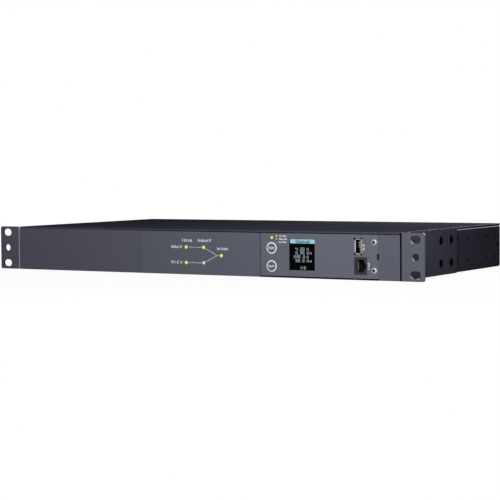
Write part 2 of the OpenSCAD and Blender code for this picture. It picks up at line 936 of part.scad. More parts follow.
// Outlet: a flanged housing with a core that the plug's shroud goes round
module outlet(i) {
    y_face = y_wall + socket_flange_t;
    color([0.07, 0.07, 0.08])
    translate([outlet_xs[i], 0, socket_z])
        difference() {
            union() {
                across(y_wall, y_face)
                    round_rect(socket_w, socket_h, 1.5);
                across(y_wall - socket_d, y_wall + eps)
                    square([socket_body_w, socket_body_h], center = true);
            }
            across(y_face - well_d, y_face + 1)
                difference() {
                    socket_outline(groove);
                    socket_outline(0);
                }
            for (p = pins) {
                across(y_face - slot_face_t - 1, y_face + 1)
                    translate(p)
                        square([2.6, 5], center = true);
                across(y_wall - socket_d - 1, y_face - slot_face_t)
                    translate(p)
                        square([4.4, 5.6], center = true);
            }
        }
}

// Spring clips in the outlets: two leaves and a tab to the outlet board
module outlet_contacts() {
    y_back = y_wall - socket_d + 3;
    y_front = y_wall + socket_flange_t - slot_face_t - 0.3;
    color([0.8, 0.65, 0.35])
    for (x = outlet_xs, p = pins)
        translate([x + p[0], 0, socket_z + p[1]])
            union() {
                difference() {
                    box(-1.75, 1.75, y_back, y_front, -2.4, 2.4);
                    box(-1.15, 1.15, y_back + 0.8, y_front + 1, -3, 3);
                }
                box(-0.4, 0.4, outlet_board_y, y_back + eps, -2.4, 2.4);
            }
}

module outlet_board() {
    color([0.05, 0.3, 0.15])
    across(outlet_board_y - board_t, outlet_board_y)
        rect(outlet_xs[0] - 13, outlet_xs[7] + 13, socket_z - 12, socket_z + 14);
}

// Inlet: a flanged housing with a well round three pins
module inlet(i) {
    y_face = y_wall + socket_flange_t;
    color([0.07, 0.07, 0.08])
    translate([inlet_xs[i], 0, socket_z])
        difference() {
            union() {
                across(y_wall, y_face)
                    round_rect(socket_w, socket_h, 1.5);
                across(y_wall - socket_d + 4, y_wall + eps)
                    square([socket_body_w, socket_body_h], center = true);
            }
            across(y_face - well_d, y_face + 1)
                socket_outline(well_gap);
            across(y_wall - socket_d, y_face)
                for (p = pins)
                    translate(p)
                        square([2.1, 4.1], center = true);
        }
}

module inlet_pins() {
    color([0.82, 0.8, 0.75])
    for (x = inlet_xs, p = pins)
        translate([x + p[0], 0, socket_z + p[1]])
            union() {
                box(-1, 1, y_wall - socket_d + 3, y_wall + socket_flange_t - 2.5, -2, 2);
                box(-0.4, 0.4, pin_tab_y, y_wall - socket_d + 3 + eps, -2.4, 2.4);
            }
}

// Circuit breaker: a block behind the wall with a threaded neck through it
module breaker(i) {
    color([0.1, 0.1, 0.11])
    translate([breaker_xs[i], 0, socket_z])
        difference() {
            union() {
                across(y_wall_in - 28, y_wall_in)
                    round_rect(14, 24, 1);
                rod(0, 0, neck_r, y_wall_in - 1, y_wall + neck_l);
                for (z = [-8, 5])
                    box(-0.4, 0.4, y_wall_in - 35, y_wall_in - 27, z, z + 4.8);
            }
            rod(0, 0, reset_d/2 + reset_gap, y_wall_in - 12, y_wall + neck_l + 1);
        }
}

module reset_button(i) {
    color([0.85, 0.85, 0.83])
    translate([breaker_xs[i], 0, socket_z])
        union() {
            rod(0, 0, reset_d/2, y_wall_in - 12 + reset_gap, y_wall + neck_l + 1.5);
            translate([0, y_wall + neck_l + 1.5, 0])
                rotate([-90, 0, 0])
                    cylinder(r1 = reset_d/2, r2 = reset_d/2 - 0.6, h = 0.6);
        }
}

module breaker_nuts() {
    color([0.75, 0.75, 0.77])
    for (x = breaker_xs)
        translate([x, y_wall, socket_z])
            rotate([-90, 0, 0])
                difference() {
                    cylinder(r = 8, h = 2.4, $fn = 6);
                    translate([0, 0, -1])
                        cylinder(r = neck_r + 0.05, h = 5);
                }
}

module ground_stud() {
    color([0.8, 0.78, 0.6])
    rod(ground_pos[0], ground_pos[1], 1.95, y_wall_in - 5, y_wall + 10);
}

module ground_nuts() {
    color([0.8, 0.78, 0.6])
    translate([ground_pos[0], 0, ground_pos[1]])
        rotate([-90, 0, 0]) {
            translate([0, 0, y_wall + 0.8])
                hex_nut(3.2);
            translate([0, 0, y_wall_in - 3.2])
                hex_nut(3.2);
            translate([0, 0, y_wall])
                difference() {
                    cylinder(r = 4.5, h = 0.8);
                    translate([0, 0, -1])
                        cylinder(r = 2, h = 3);
                }
        }
}

module hex_nut(h) {
    difference() {
        cylinder(r = 4.04, h = h, $fn = 6);
        translate([0, 0, -1])
            cylinder(r = 2, h = h + 2);
    }
}

// Main board on its spacers
module main_board() {
    color([0.05, 0.3, 0.15])
    difference() {
        flat(main_z, main_top)
            rect(main_x - main_w/2, main_x + main_w/2, main_y, main_y + main_d);
        for (p = spacers)
            translate([p[0], p[1], main_z - 1])
                cylinder(r = small_hole_r + 0.15, h = board_t + 2);
    }
}

module board_spacers() {
    color([0.8, 0.78, 0.6])
    for (p = spacers)
        translate([p[0], p[1], z_floor])
            difference() {
                cylinder(r = 3, h = spacer_h);
                translate([0, 0, -1])
                    cylinder(r = small_hole_r, h = spacer_h + 2);
            }
}

module board_screws() {
    color([0.8, 0.8, 0.82])
    for (p = spacers)
        translate([p[0], p[1], main_top])
            pan_screw(small_head_r, small_core_r, 1.8, board_t + spacer_h + sheet_t - 0.1);
}

module transfer_relays() {
    color([0.1, 0.12, 0.2])
    for (i = [0:3])
        translate([relay_left + i*relay_pitch, rear_row_y, 0])
            flat(main_top, main_top + relay_h)
                round_rect(relay_w, relay_d, 1);
}

module thyristors() {
    color([0.12, 0.12, 0.13])
    for (x = thyristor_xs)
        translate([x, sink_y, 0])
            difference() {
                flat(main_top, main_top + thyristor_h)
                    round_rect(thyristor_w, thyristor_d, 1);
                for (s = [-1, 1])
                    translate([0, s*(thyristor_d/2 - 3.5), main_top + thyristor_h*0.4])
                        cylinder(r = 2, h = thyristor_h);
            }
}

module heat_sink() {
    w = thyristor_xs[3] - thyristor_xs[0] + thyristor_w + 2*sink_margin;
    z0 = main_top + thyristor_h;
    plate_t = fin_h*0.22;
    fin_t = 1.6;
    color([0.75, 0.76, 0.78])
    across(sink_y - sink_d/2, sink_y + sink_d/2)
        union() {
            rect(sink_left, sink_left + w, z0, z0 + plate_t);
            for (i = [0:fin_count - 1])
                translate([i*(w - fin_t)/(fin_count - 1), 0])
                    rect(sink_left, sink_left + fin_t, z0 + plate_t/2, z0 + fin_h);
        }
}

// Transformer: a laminated core round two windows, with a coil on its middle leg
module supply_transformer() {
    leg = core_w/6;
    coil_w = core_w - 2*leg - 0.4;
    color([0.25, 0.22, 0.2])
    translate([core_x, front_row_y, main_top])
        union() {
            difference() {
                across(-core_t/2, core_t/2)
                    rect(-core_w/2, core_w/2, 0, core_h);
                for (s = [-1, 1])
                    across(-core_t, core_t)
                        translate([s*core_w/4, core_h/2])
                            square([leg, core_h - 2*leg + 2], center = true);
            }
            flat(leg, core_h - leg)
                difference() {
                    round_rect(coil_w, core_t + 2*leg - 2, 2);
                    square([core_w/3, core_t], center = true);
                }
        }
}

module capacitors() {
    r = cap_d/2;
    color([0.1, 0.12, 0.3])
    for (i = [0:2])
        translate([cap_right - i*cap_pitch, front_row_y, main_top])
            rotate_extrude()
                polygon([[0, 0], [r - 0.4, 0], [r, 0.4], [r, 2.6], [r - 0.4, 3], [r, 3.4], [r, cap_h - 0.8],
                         [r - 0.8, cap_h], [r - 2, cap_h], [r - 2.2, cap_h - 0.3], [0, cap_h - 0.3]]);
}

module terminal_blocks() {
    step = terminal_d - 3;
    color([0.1, 0.4, 0.25])
    for (x = terminal_xs)
        translate([x, main_y + main_d, main_top])
            difference() {
                union() {
                    translate([0, -terminal_d/2, 0])
                        flat(0, terminal_h - 3)
                            round_rect(terminal_w, terminal_d, 0.5);
                    translate([0, -terminal_d + step/2, 0])
                        flat(terminal_h - 4, terminal_h)
                            round_rect(terminal_w, step, 0.5);
                }
                for (p = pins)
                    rod(p[0], wire_z - main_top, wire_r + 0.5, -terminal_d + 4, 1);
                for (p = pins)
                    translate([p[0], -terminal_d + step/2, terminal_h - 4])
                        cylinder(r = 1.8, h = 5);
            }
}

// Wires between the terminal blocks, the inlets' pins and the outlet board
module power_wires() {
    y0 = main_y + main_d - terminal_d + 4.8;
    color([0.6, 0.15, 0.1])
    union() {
        for (x = inlet_xs, p = pins)
            wire([x + p[0], y0, wire_z], [x + p[0], y0 + wire_lead, wire_z],
                 [x + p[0], pin_tab_y - wire_gap, socket_z + p[1]]);
        for (p = pins)
            wire([terminal_xs[2] + p[0], y0, wire_z], [terminal_xs[2] + p[0], y0 + wire_lead, wire_z],
                 [terminal_xs[2] + p[0], outlet_board_y - board_t - wire_gap, wire_z - 1]);
    }
}

// Wire through three points
module wire(a, b, c) {
    strut(a, b, wire_r);
    translate(b)
        sphere(wire_r*1.01);
    strut(b, c, wire_r);
}

module strut(a, b, r) {
    d = b - a;
    translate(a)
        rotate([0, acos(d[2]/norm(d)), atan2(d[1], d[0])])
            cylinder(r = r, h = norm(d));
}

// Current sensors: rings that stand on the board in front of the inlets' terminal blocks
module current_sensors() {
    ring_w = sensor_d*0.22;
    color([0.2, 0.2, 0.55])
    for (x = inlet_xs)
        translate([x, main_y + main_d*0.73, main_top])
            union() {
                translate([0, 0, sensor_d/2 + 0.4])
                    rotate([90, 0, 0])
                        rotate_extrude()
                            translate([sensor_d/2 - ring_w/2, 0])
                                round_rect(ring_w, sensor_t, 1);
                box(-sensor_d/4, sensor_d/4, -sensor_t/2 + 0.5, sensor_t/2 - 0.5, 0, 2);
            }
}

chassis_tray();
top_cover();
front_panel();
mimic_overlay();
rack_ear_left();
rack_ear_right();
ear_screws();
cover_screws();
panel_screws();
mimic_lamps();
mimic_board();
module_plate();
module_tray();
module_bracket();
module_screws();
module_board();
lcd_window();
lcd_display();
status_light();
select_button();
enter_button();
button_switches();
usb_shell();
usb_tongue();
usb_contacts();
jack_housing();
jack_contacts();
module_cable();
outlet(0);  // outlet_1
outlet(1);  // outlet_2
outlet(2);  // outlet_3
outlet(3);  // outlet_4
outlet(4);  // outlet_5
outlet(5);  // outlet_6
outlet(6);  // outlet_7
outlet(7);  // outlet_8
outlet_contacts();
outlet_board();
inlet(1);  // inlet_a
inlet(0);  // inlet_b
inlet_pins();
breaker(1);  // breaker_a
breaker(0);  // breaker_b
reset_button(1);  // breaker_a_button
reset_button(0);  // breaker_b_button
breaker_nuts();
ground_stud();
ground_nuts();
main_board();
board_spacers();
board_screws();
transfer_relays();
thyristors();
heat_sink();
supply_transformer();
capacitors();
terminal_blocks();
power_wires();
current_sensors();
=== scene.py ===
"""Finishes, prints, display picture, lamps, fasteners and stage for a rack-mounted transfer switch.

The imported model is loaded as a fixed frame. Every size is in metres and MM turns millimetres into
them. X runs to the right of the switch, Y to its back and Z up.
"""
import math
import random

import bmesh
import bpy
from bpy.props import FloatProperty, FloatVectorProperty, IntProperty, PointerProperty
from mathutils import Matrix, Vector


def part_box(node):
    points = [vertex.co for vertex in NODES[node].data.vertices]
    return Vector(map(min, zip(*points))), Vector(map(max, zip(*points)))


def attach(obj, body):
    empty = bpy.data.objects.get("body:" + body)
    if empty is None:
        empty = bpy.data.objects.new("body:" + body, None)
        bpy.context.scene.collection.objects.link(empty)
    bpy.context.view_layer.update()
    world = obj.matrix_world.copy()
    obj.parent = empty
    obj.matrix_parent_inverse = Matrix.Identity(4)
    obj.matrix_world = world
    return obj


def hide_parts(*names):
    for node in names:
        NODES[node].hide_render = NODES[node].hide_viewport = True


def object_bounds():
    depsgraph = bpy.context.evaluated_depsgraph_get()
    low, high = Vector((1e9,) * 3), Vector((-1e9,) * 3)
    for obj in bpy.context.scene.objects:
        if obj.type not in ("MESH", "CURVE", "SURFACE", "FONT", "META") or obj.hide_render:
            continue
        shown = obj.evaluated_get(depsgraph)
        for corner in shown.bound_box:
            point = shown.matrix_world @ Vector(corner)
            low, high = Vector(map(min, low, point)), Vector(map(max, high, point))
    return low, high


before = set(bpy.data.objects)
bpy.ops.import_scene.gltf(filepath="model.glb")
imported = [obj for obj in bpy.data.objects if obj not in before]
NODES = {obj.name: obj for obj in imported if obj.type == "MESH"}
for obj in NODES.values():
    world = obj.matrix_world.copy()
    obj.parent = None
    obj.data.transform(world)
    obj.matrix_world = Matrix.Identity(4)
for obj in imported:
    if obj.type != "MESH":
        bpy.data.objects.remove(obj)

bl_info = {
    "name": "Rack Transfer Switch",
    "version": (1, 0, 0),
    "blender": (4, 5, 0),
    "location": "3D View > Sidebar > Switch",
    "description": "Dresses a rack-mounted transfer switch with its finishes, prints and stage",
    "category": "Object",
}

MM = 0.001
CAD_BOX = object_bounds()
# The body that everything rides on that doesn't move
HOME = "case"


# ---------------------------------------------------------------- sizes and colours to change

def length(name, text, value):
    return FloatProperty(name=name, description=text, default=value * MM, min=0.0,
                         subtype="DISTANCE", unit="LENGTH", precision=5)


def colour(name, text, rgb):
    return FloatVectorProperty(name=name, description=text, default=rgb, min=0.0, max=1.0,
                               subtype="COLOR", size=3)


def number(name, text, value, low=0.0, high=100.0, **kind):
    return FloatProperty(name=name, description=text, default=value, min=low, max=high, **kind)


def power(name, text, watts):
    return number(name, text, watts, high=1000.0, subtype="POWER", unit="POWER", precision=3)


def angle(name, text, degrees):
    return number(name, text, math.radians(degrees), -math.pi, math.pi, subtype="ANGLE",
                  unit="ROTATION", precision=4)


class SheetSettings(bpy.types.PropertyGroup):
    case: colour("Case", "Powder coat of the tray and the cover", (0.066, 0.066, 0.096))
    panel: colour("Panel", "Paint of the front panel and the ears", (0.100, 0.103, 0.135))
    # The flange's side face is painted darker than the panel, as painted shade
    flange: colour("Flange", "Paint of the right ear's side flange", (0.073, 0.0752, 0.104))
    film: colour("Film", "Printed film beside the display module", (0.107, 0.112, 0.145))
    module: colour("Module", "Paint of the display module's plate", (0.122, 0.129, 0.163))
    gloss: number("Gloss", "Share of the light that the paint throws back like a mirror", 0.02,
                  high=1.0, subtype="FACTOR")
    # Gloss shares of the faint, plain and bright painted highlights on chosen edges
    wear: FloatVectorProperty(name="Wear", size=3, default=(0.03, 0.25, 0.30), min=0.0, max=1.0,
                              description="Share that faint, plain and bright wear throw back")
    # The cover's front face is painted a share of the case's colour, as painted shade
    cut: number("Cut", "Shade of the cover's cut edge, as a share of the case's", 0.8, high=1.0,
                subtype="FACTOR")
    # The film's left edge is a darker strip, as painted shade
    seam: number("Seam", "Shade of the film's left edge, as a share of the film's", 0.82, high=1.0,
                 subtype="FACTOR")
    edge: length("Edge", "Width of the broken edges of the sheet metal", 0.22)
    grain: length("Grain", "Size of the paint's grain", 0.7)


class PrintSettings(bpy.types.PropertyGroup):
    ink: colour("Ink", "White ink of the prints", (0.90, 0.92, 0.94))
    thickness: length("Thickness", "Height that the ink stands proud", 0.03)
    line: length("Line", "Width of the diagram's lines", 0.37)
    ring: length("Ring", "Width of the rings round the buttons", 1.1)
    letter: length("Letter", "Height of the small print's marks", 2.5)
    seed: IntProperty(name="Seed", description="Seed of the small print's marks", default=7, min=0)


class DisplaySettings(bpy.types.PropertyGroup):
    header: colour("Header", "Bar along the top of the picture", (0.29, 0.53, 0.66))
    figures: colour("Figures", "Colour of the readings", (0.40, 0.52, 0.56))
    glow: number("Glow", "Brightness of the picture", 0.9)
    dot: length("Dot", "Pitch of the picture's dots", 0.38)


class LampSettings(bpy.types.PropertyGroup):
    core: colour("Core", "Middle of a lit lamp", (0.60, 0.95, 0.18))
    rim: colour("Rim", "Rim of a lit lamp", (0.28, 0.60, 0.03))
    ready: colour("Ready", "Middle of the status light", (0.75, 0.98, 0.15))
    ready_rim: colour("Ready rim", "Rim of the status light", (0.38, 0.60, 0.04))
    glow: number("Glow", "Brightness of a lit lamp", 1.0)
    dome: length("Dome", "Height that a lamp's dome stands proud", 0.9)


class StageSettings(bpy.types.PropertyGroup):
    aim: FloatVectorProperty(name="Aim", description="Point that the camera looks at", size=3,
                             default=(60.46 * MM, 0.0, 3.24 * MM), subtype="XYZ", unit="LENGTH")
    distance: length("Distance", "From the camera to the point that it looks at", 1540.8)
    heading: angle("Heading", "Angle of the view to the left of straight ahead", 30.724)
    pitch: angle("Pitch", "Angle of the view below the horizon", 3.022)
    roll: angle("Roll", "Turn of the camera about its view", -0.449)
    lens: number("Lens", "Focal length for a sensor 36 mm wide", 117.05, 1.0, 1000.0,
                 subtype="DISTANCE_CAMERA", unit="CAMERA")
    floor: colour("Floor", "Colour of the floor", (0.15, 0.15, 0.15))
    shadow: number("Shadow", "Most that the floor's own shade shows near the switch", 0.06,
                   high=1.0, subtype="FACTOR")
    sky: number("Sky", "Strength of the soft light from all round", 0.04)
    key: power("Key", "Power of the lamp at the front right", 4.4)
    side: power("Side", "Power of the small lamp beside the right ear", 0.055)
    rim: power("Rim", "Power of the small lamp over the right rear corner", 0.5)
    back: power("Back", "Power of the lamps behind the switch and to its left", 8.0)


# ---------------------------------------------------------------- shader maths and finishes

class Value:
    """A shader socket that Python's operators work on, each adding a Math node."""

    def __init__(self, nodes, socket):
        self.nodes = nodes
        self.socket = socket

    def math(self, operation, *terms):
        node = self.nodes.node("Math", {"operation": operation}, dict(enumerate(terms)))
        return Value(self.nodes, node.outputs[0])

    def __add__(self, other):
        return self.math("ADD", self, other)

    def __radd__(self, other):
        return self.math("ADD", other, self)

    def __sub__(self, other):
        return self.math("SUBTRACT", self, other)

    def __rsub__(self, other):
        return self.math("SUBTRACT", other, self)

    def __mul__(self, other):
        return self.math("MULTIPLY", self, other)

    def __rmul__(self, other):
        return self.math("MULTIPLY", other, self)

    def __pow__(self, other):
        return self.math("POWER", self, other)

    def __lt__(self, other):
        return self.math("LESS_THAN", self, other)


class Nodes:
    """A node tree under construction."""

    prefix = ""

    def __init__(self, tree):
        self.tree = tree

    def node(self, kind, settings=None, inputs=None):
        """Adds a node from its type, its settings and the values or links of its sockets."""
        node = self.tree.nodes.new(self.prefix + kind)
        for key, value in (settings or {}).items():
            setattr(node, key, value)
        for key, value in (inputs or {}).items():
            self.plug(node.inputs[key], value)
        return node

    def plug(self, socket, value):
        """Links a socket to another, or gives it a value."""
        if isinstance(value, Value):
            value = value.socket
        if isinstance(value, bpy.types.NodeSocket):
            self.tree.links.new(value, socket)
        else:
            socket.default_value = value


class Shading(Nodes):
    """A material's or the world's node tree under construction."""

    prefix = "ShaderNode"

    def seen_directly(self):
        """1 for what the camera, a reflection or a clear surface shows, 0 for light on things."""
        path = self.node("LightPath").outputs
        camera, glossy, through = (Value(self, path["Is %s Ray" % kind])
                                   for kind in ("Camera", "Glossy", "Transmission"))
        return camera.math("MAXIMUM", camera.math("MAXIMUM", camera, glossy), through)


class Finish(Shading):
    """A node-based material under construction, on Object coordinates."""

    made = {}

    def __init__(self, name, rgb, roughness=0.5, **fixed):
        self.material = bpy.data.materials.new(name)
        self.material.use_nodes = True
        super().__init__(self.material.node_tree)
        self.shader = self.tree.nodes["Principled BSDF"]
        self.rgb = tuple(rgb)
        self.material.diffuse_color = (*self.rgb, 1.0)
        self.set(Base_Color=(*self.rgb, 1.0), Roughness=roughness, **fixed)
        Finish.made[name] = self

    def set(self, **sockets):
        for name, value in sockets.items():
            self.plug(self.shader.inputs[name.replace("_", " ")], value)
        return self

    def place(self, size=1.0, stretch=(1, 1, 1)):
        """Object coordinates, one unit for each size."""
        scale = tuple(s / size for s in stretch)
        coordinates = self.node("TexCoord").outputs["Object"]
        return self.node("Mapping", {"vector_type": "POINT"},
                         {"Vector": coordinates, "Scale": scale}).outputs[0]

    def noise(self, size, detail=2.0, rough=0.5, stretch=(1, 1, 1)):
        node = self.node("TexNoise", None, {"Vector": self.place(size, stretch), "Scale": 1.0,
                                            "Detail": detail, "Roughness": rough})
        return Value(self, node.outputs["Fac"])

    def cells(self, size, output="Distance"):
        node = self.node("TexVoronoi", {"feature": "F1"},
                         {"Vector": self.place(size), "Scale": 1.0})
        return Value(self, node.outputs[output])

    def attribute(self, name):
        return Value(self, self.node("Attribute", {"attribute_name": name}).outputs["Fac"])

    def mix(self, factor, a, b):
        """One colour turned into another."""
        node = self.node("Mix", {"data_type": "RGBA"})
        for index, value in ((0, factor), (6, a), (7, b)):
            if isinstance(value, tuple) and len(value) == 3:
                value = (*value, 1.0)
            self.plug(node.inputs[index], value)
        return Value(self, node.outputs[2])

    def shade(self, amount, low, high):
        """The finish's colour, darker to lighter with amount."""
        return self.mix(amount, tinted(self.rgb, low), tinted(self.rgb, high))

    def bump(self, height, depth):
        """Relief of the given depth in metres, for a height from 0 to 1."""
        node = self.node("Bump", None, {"Strength": 1.0, "Distance": depth, "Height": height})
        self.set(Normal=node.outputs[0])
        return self

    def glaze(self, share, roughness=0.3, even=False):
        """A thin gloss over the finish, strongest where it is seen face on, or even all over."""
        gloss = self.node("BsdfPrincipled", None, {"Base Color": (1, 1, 1, 1), "Metallic": 1.0,
                                                   "Roughness": roughness})
        for link in self.shader.inputs["Normal"].links:
            self.plug(gloss.inputs["Normal"], link.from_socket)
        if not even:
            facing = Value(self, self.node("LayerWeight", None, {"Blend": 0.5}).outputs["Facing"])
            share = share * (1 - facing) ** 3.0
        return self.blend(share, gloss)

    def blend(self, share, other):
        """Lets another shader take the place of the finish's own by the share given."""
        mixed = self.node("MixShader", None,
                          {0: share, 1: self.shader.outputs[0], 2: other.outputs[0]})
        self.plug(self.tree.nodes["Material Output"].inputs[0], mixed.outputs[0])
        return self


def tinted(rgb, share):
    """A colour made lighter or darker."""
    return tuple(min(1.0, c * share) for c in rgb)


def powder_coat(name, rgb, grain, gloss, even=False):
    """Oven-cured paint: a close grain over a slow ripple, lighter and glossier by patches."""
    finish = Finish(name, rgb, Specular_IOR_Level=0.0)
    fine = finish.noise(grain, 2.0, 0.6)
    ripple = finish.noise(grain * 5, 1.0)
    patches = finish.noise(90 * MM, 3.0)
    finish.set(Base_Color=finish.shade(fine * 0.5 + patches * 0.5, 0.88, 1.12),
               Roughness=0.73 + 0.14 * patches + 0.06 * (fine - 0.5))
    return finish.bump(fine * 0.7 + ripple * 0.5, 0.03 * MM).glaze(gloss, even=even)


def satin_film(name, rgb, gloss):
    """Printed polyester film: a close, even texture and a slight unevenness of the ink."""
    finish = Finish(name, rgb, Specular_IOR_Level=0.0)
    texture = finish.cells(0.35 * MM)
    ink = finish.noise(60 * MM, 3.0)
    finish.set(Base_Color=finish.shade(ink * 0.7 + texture * 0.3, 0.93, 1.07),
               Roughness=0.65 + 0.1 * ink)
    return finish.bump(texture, 0.012 * MM).glaze(gloss)


def moulded(name, rgb, roughness=0.45, gloss=0.15):
    """Moulded plastic: a spark-eroded texture and faint flow marks."""
    finish = Finish(name, rgb, roughness, Specular_IOR_Level=gloss)
    texture = finish.noise(0.4 * MM, 3.0, 0.6)
    flow = finish.noise(9 * MM, 2.0, stretch=(1, 0.4, 1))
    finish.set(Base_Color=finish.shade(flow, 0.86, 1.14), Roughness=roughness - 0.06 + 0.12 * flow)
    return finish.bump(texture, 0.02 * MM)


def metal(name, rgb, roughness=0.3, grain=(1, 1, 12), depth=0.008 * MM):
    """Bare or plated metal with the fine lines of drawing or turning, and painted shade in a
    recess.
    """
    finish = Finish(name, rgb, roughness, Metallic=1.0)
    lines = finish.noise(0.6 * MM, 3.0, 0.65, stretch=grain)
    tarnish = finish.noise(6 * MM, 3.0)
    open_metal = finish.shade(tarnish, 0.82, 1.05)
    # Marked recesses get a near-black colour, as painted shade
    finish.set(Base_Color=finish.mix(finish.attribute("recess"), open_metal, (0.045, 0.045, 0.05)),
               Roughness=roughness - 0.08 + 0.1 * lines + 0.12 * tarnish)
    return finish.bump(lines, depth)


def spangle(name, rgb):
    """Zinc-plated sheet with a soft spangle."""
    finish = Finish(name, rgb, 0.4, Metallic=1.0)
    crystals = finish.cells(5 * MM, output="Color")
    scratches = finish.noise(0.9 * MM, 3.0, stretch=(0.1, 1, 1))
    finish.set(Base_Color=finish.shade(crystals, 0.8, 1.06), Roughness=0.3 + 0.2 * crystals)
    return finish.bump(scratches, 0.006 * MM)


def circuit_board(name, rgb):
    """Solder mask over copper tracks, with plated holes."""
    finish = Finish(name, rgb, 0.35, Coat_Weight=0.4)
    tracks = finish.node("TexBrick", None,
                         {"Vector": finish.place(7 * MM), "Scale": 1.0, "Mortar Size": 0.06,
                          "Mortar Smooth": 0.2, "Brick Width": 1.3, "Row Height": 0.35})
    copper = Value(finish, tracks.outputs["Fac"])
    holes = finish.cells(2.6 * MM) < 0.09
    laid = finish.mix(copper, finish.rgb, tinted(rgb, 1.9))
    finish.set(Base_Color=finish.mix(holes, laid, (0.75, 0.7, 0.5)), Metallic=holes * 0.9)
    return finish.bump(copper, 0.03 * MM)


def ink(name, rgb):
    """Screen-printed ink, with the slight mottle of its mesh."""
    finish = Finish(name, rgb, 0.55)
    mottle = finish.noise(0.25 * MM, 2.0)
    finish.set(Base_Color=finish.shade(mottle, 0.9, 1.08))
    return finish.bump(mottle, 0.004 * MM)


def glowing(name, rgb, strength, rim=None):
    """A surface that gives off light, its rim in another colour where it has one."""
    finish = Finish(name, tinted(rgb, 0.25), 0.3, Emission_Strength=strength)
    if rim is None:
        level = finish.noise(1.2 * MM, 1.0)
        shown = finish.mix(level, tinted(rgb, 0.92), tinted(rgb, 1.05))
    else:
        shown = finish.mix(finish.attribute("rim") ** 1.6, tuple(rgb), tuple(rim))
    return finish.set(Emission_Color=shown, Specular_IOR_Level=0.1)


# ---------------------------------------------------------------- pieces and meshes

def add_piece(name, mesh, finish, body=HOME, stands_for=()):
    """Puts a mesh into the scene as a piece that rides on a body and may stand for CAD nodes."""
    mesh.name = name
    piece = bpy.data.objects.new(name, mesh)
    bpy.context.scene.collection.objects.link(piece)
    if finish is not None:
        mesh.materials.clear()
        mesh.materials.append(Finish.made[finish].material)
    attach(piece, body)
    if stands_for:
        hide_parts(*stands_for)
    return piece


def to_mesh(bm, smooth_below=None):
    """Turns a bmesh into a mesh. Faces are smooth across edges flatter than the angle given."""
    if smooth_below is not None:
        for face in bm.faces:
            face.smooth = True
        for edge in bm.edges:
            edge.smooth = len(edge.link_faces) == 2 and edge.calc_face_angle(0) < smooth_below
    mesh = bpy.data.meshes.new("mesh")
    bm.to_mesh(mesh)
    bm.free()
    return mesh


def baked_mesh(mesh, *modifiers):
    """A mesh with modifiers applied, each given as its type and settings."""
    work = bpy.data.objects.new("work", mesh)
    bpy.context.scene.collection.objects.link(work)
    for kind, settings in modifiers:
        modifier = work.modifiers.new(kind, kind)
        for key, value in settings.items():
            setattr(modifier, key, value)
    seen = work.evaluated_get(bpy.context.evaluated_depsgraph_get())
    result = bpy.data.meshes.new_from_object(seen)
    bpy.data.objects.remove(work)
    return result


def cad_copy(node):
    """A CAD node's mesh as a bmesh, its loose triangles merged."""
    bm = bmesh.new()
    bm.from_mesh(NODES[node].data)
    bmesh.ops.remove_doubles(bm, verts=bm.verts, dist=0.002 * MM)
    return bm


def solids(node):
    """The lowest and highest corner of each separate solid of a CAD node, from left to right."""
    bm = cad_copy(node)
    left = set(bm.verts)
    boxes = []
    while left:
        group = {left.pop()}
        edge_of_group = set(group)
        while edge_of_group:
            found = {e.other_vert(v) for v in edge_of_group for e in v.link_edges} - group
            group |= found
            edge_of_group = found
        left -= group
        low, high = (Vector(pick(v.co[i] for v in group) for i in range(3)) for pick in (min, max))
        boxes.append((low, high))
    bm.free()
    return sorted(boxes, key=lambda box: (round(box[0].x, 4), -box[0].z, box[0].y))


def middle(box):
    return (box[0] + box[1]) / 2


def dress(node, finish, edge=0.0, body=HOME, name=None):
    """A copy of a CAD node with broken, softly lit edges, which stands for the node."""
    bm = cad_copy(node)
    bmesh.ops.dissolve_limit(bm, angle_limit=math.radians(0.5), verts=bm.verts, edges=bm.edges)
    mesh = to_mesh(bm, math.radians(32))
    if edge:
        mesh = baked_mesh(mesh, ("BEVEL", {"width": edge, "segments": 2, "limit_method": "ANGLE",
                                           "angle_limit": math.radians(40),
                                           "use_clamp_overlap": True, "harden_normals": True}))
    return add_piece(name or node + "_dressed", mesh, finish, body, (node,))


def touch(piece, finish, chosen):
    """Gives the faces that a test of their direction and middle chooses a finish of their own."""
    mesh = piece.data
    mesh.materials.append(Finish.made[finish].material)
    for polygon in mesh.polygons:
        if chosen(polygon.normal, polygon.center / MM):
            polygon.material_index = len(mesh.materials) - 1


def paint_node(node, finish):
    """Gives a CAD node its finish and leaves its shape as it is."""
    mesh_object = NODES[node]
    material = Finish.made[finish].material
    if not mesh_object.material_slots:
        mesh_object.data.materials.append(material)
    for place in mesh_object.material_slots:
        place.material = material


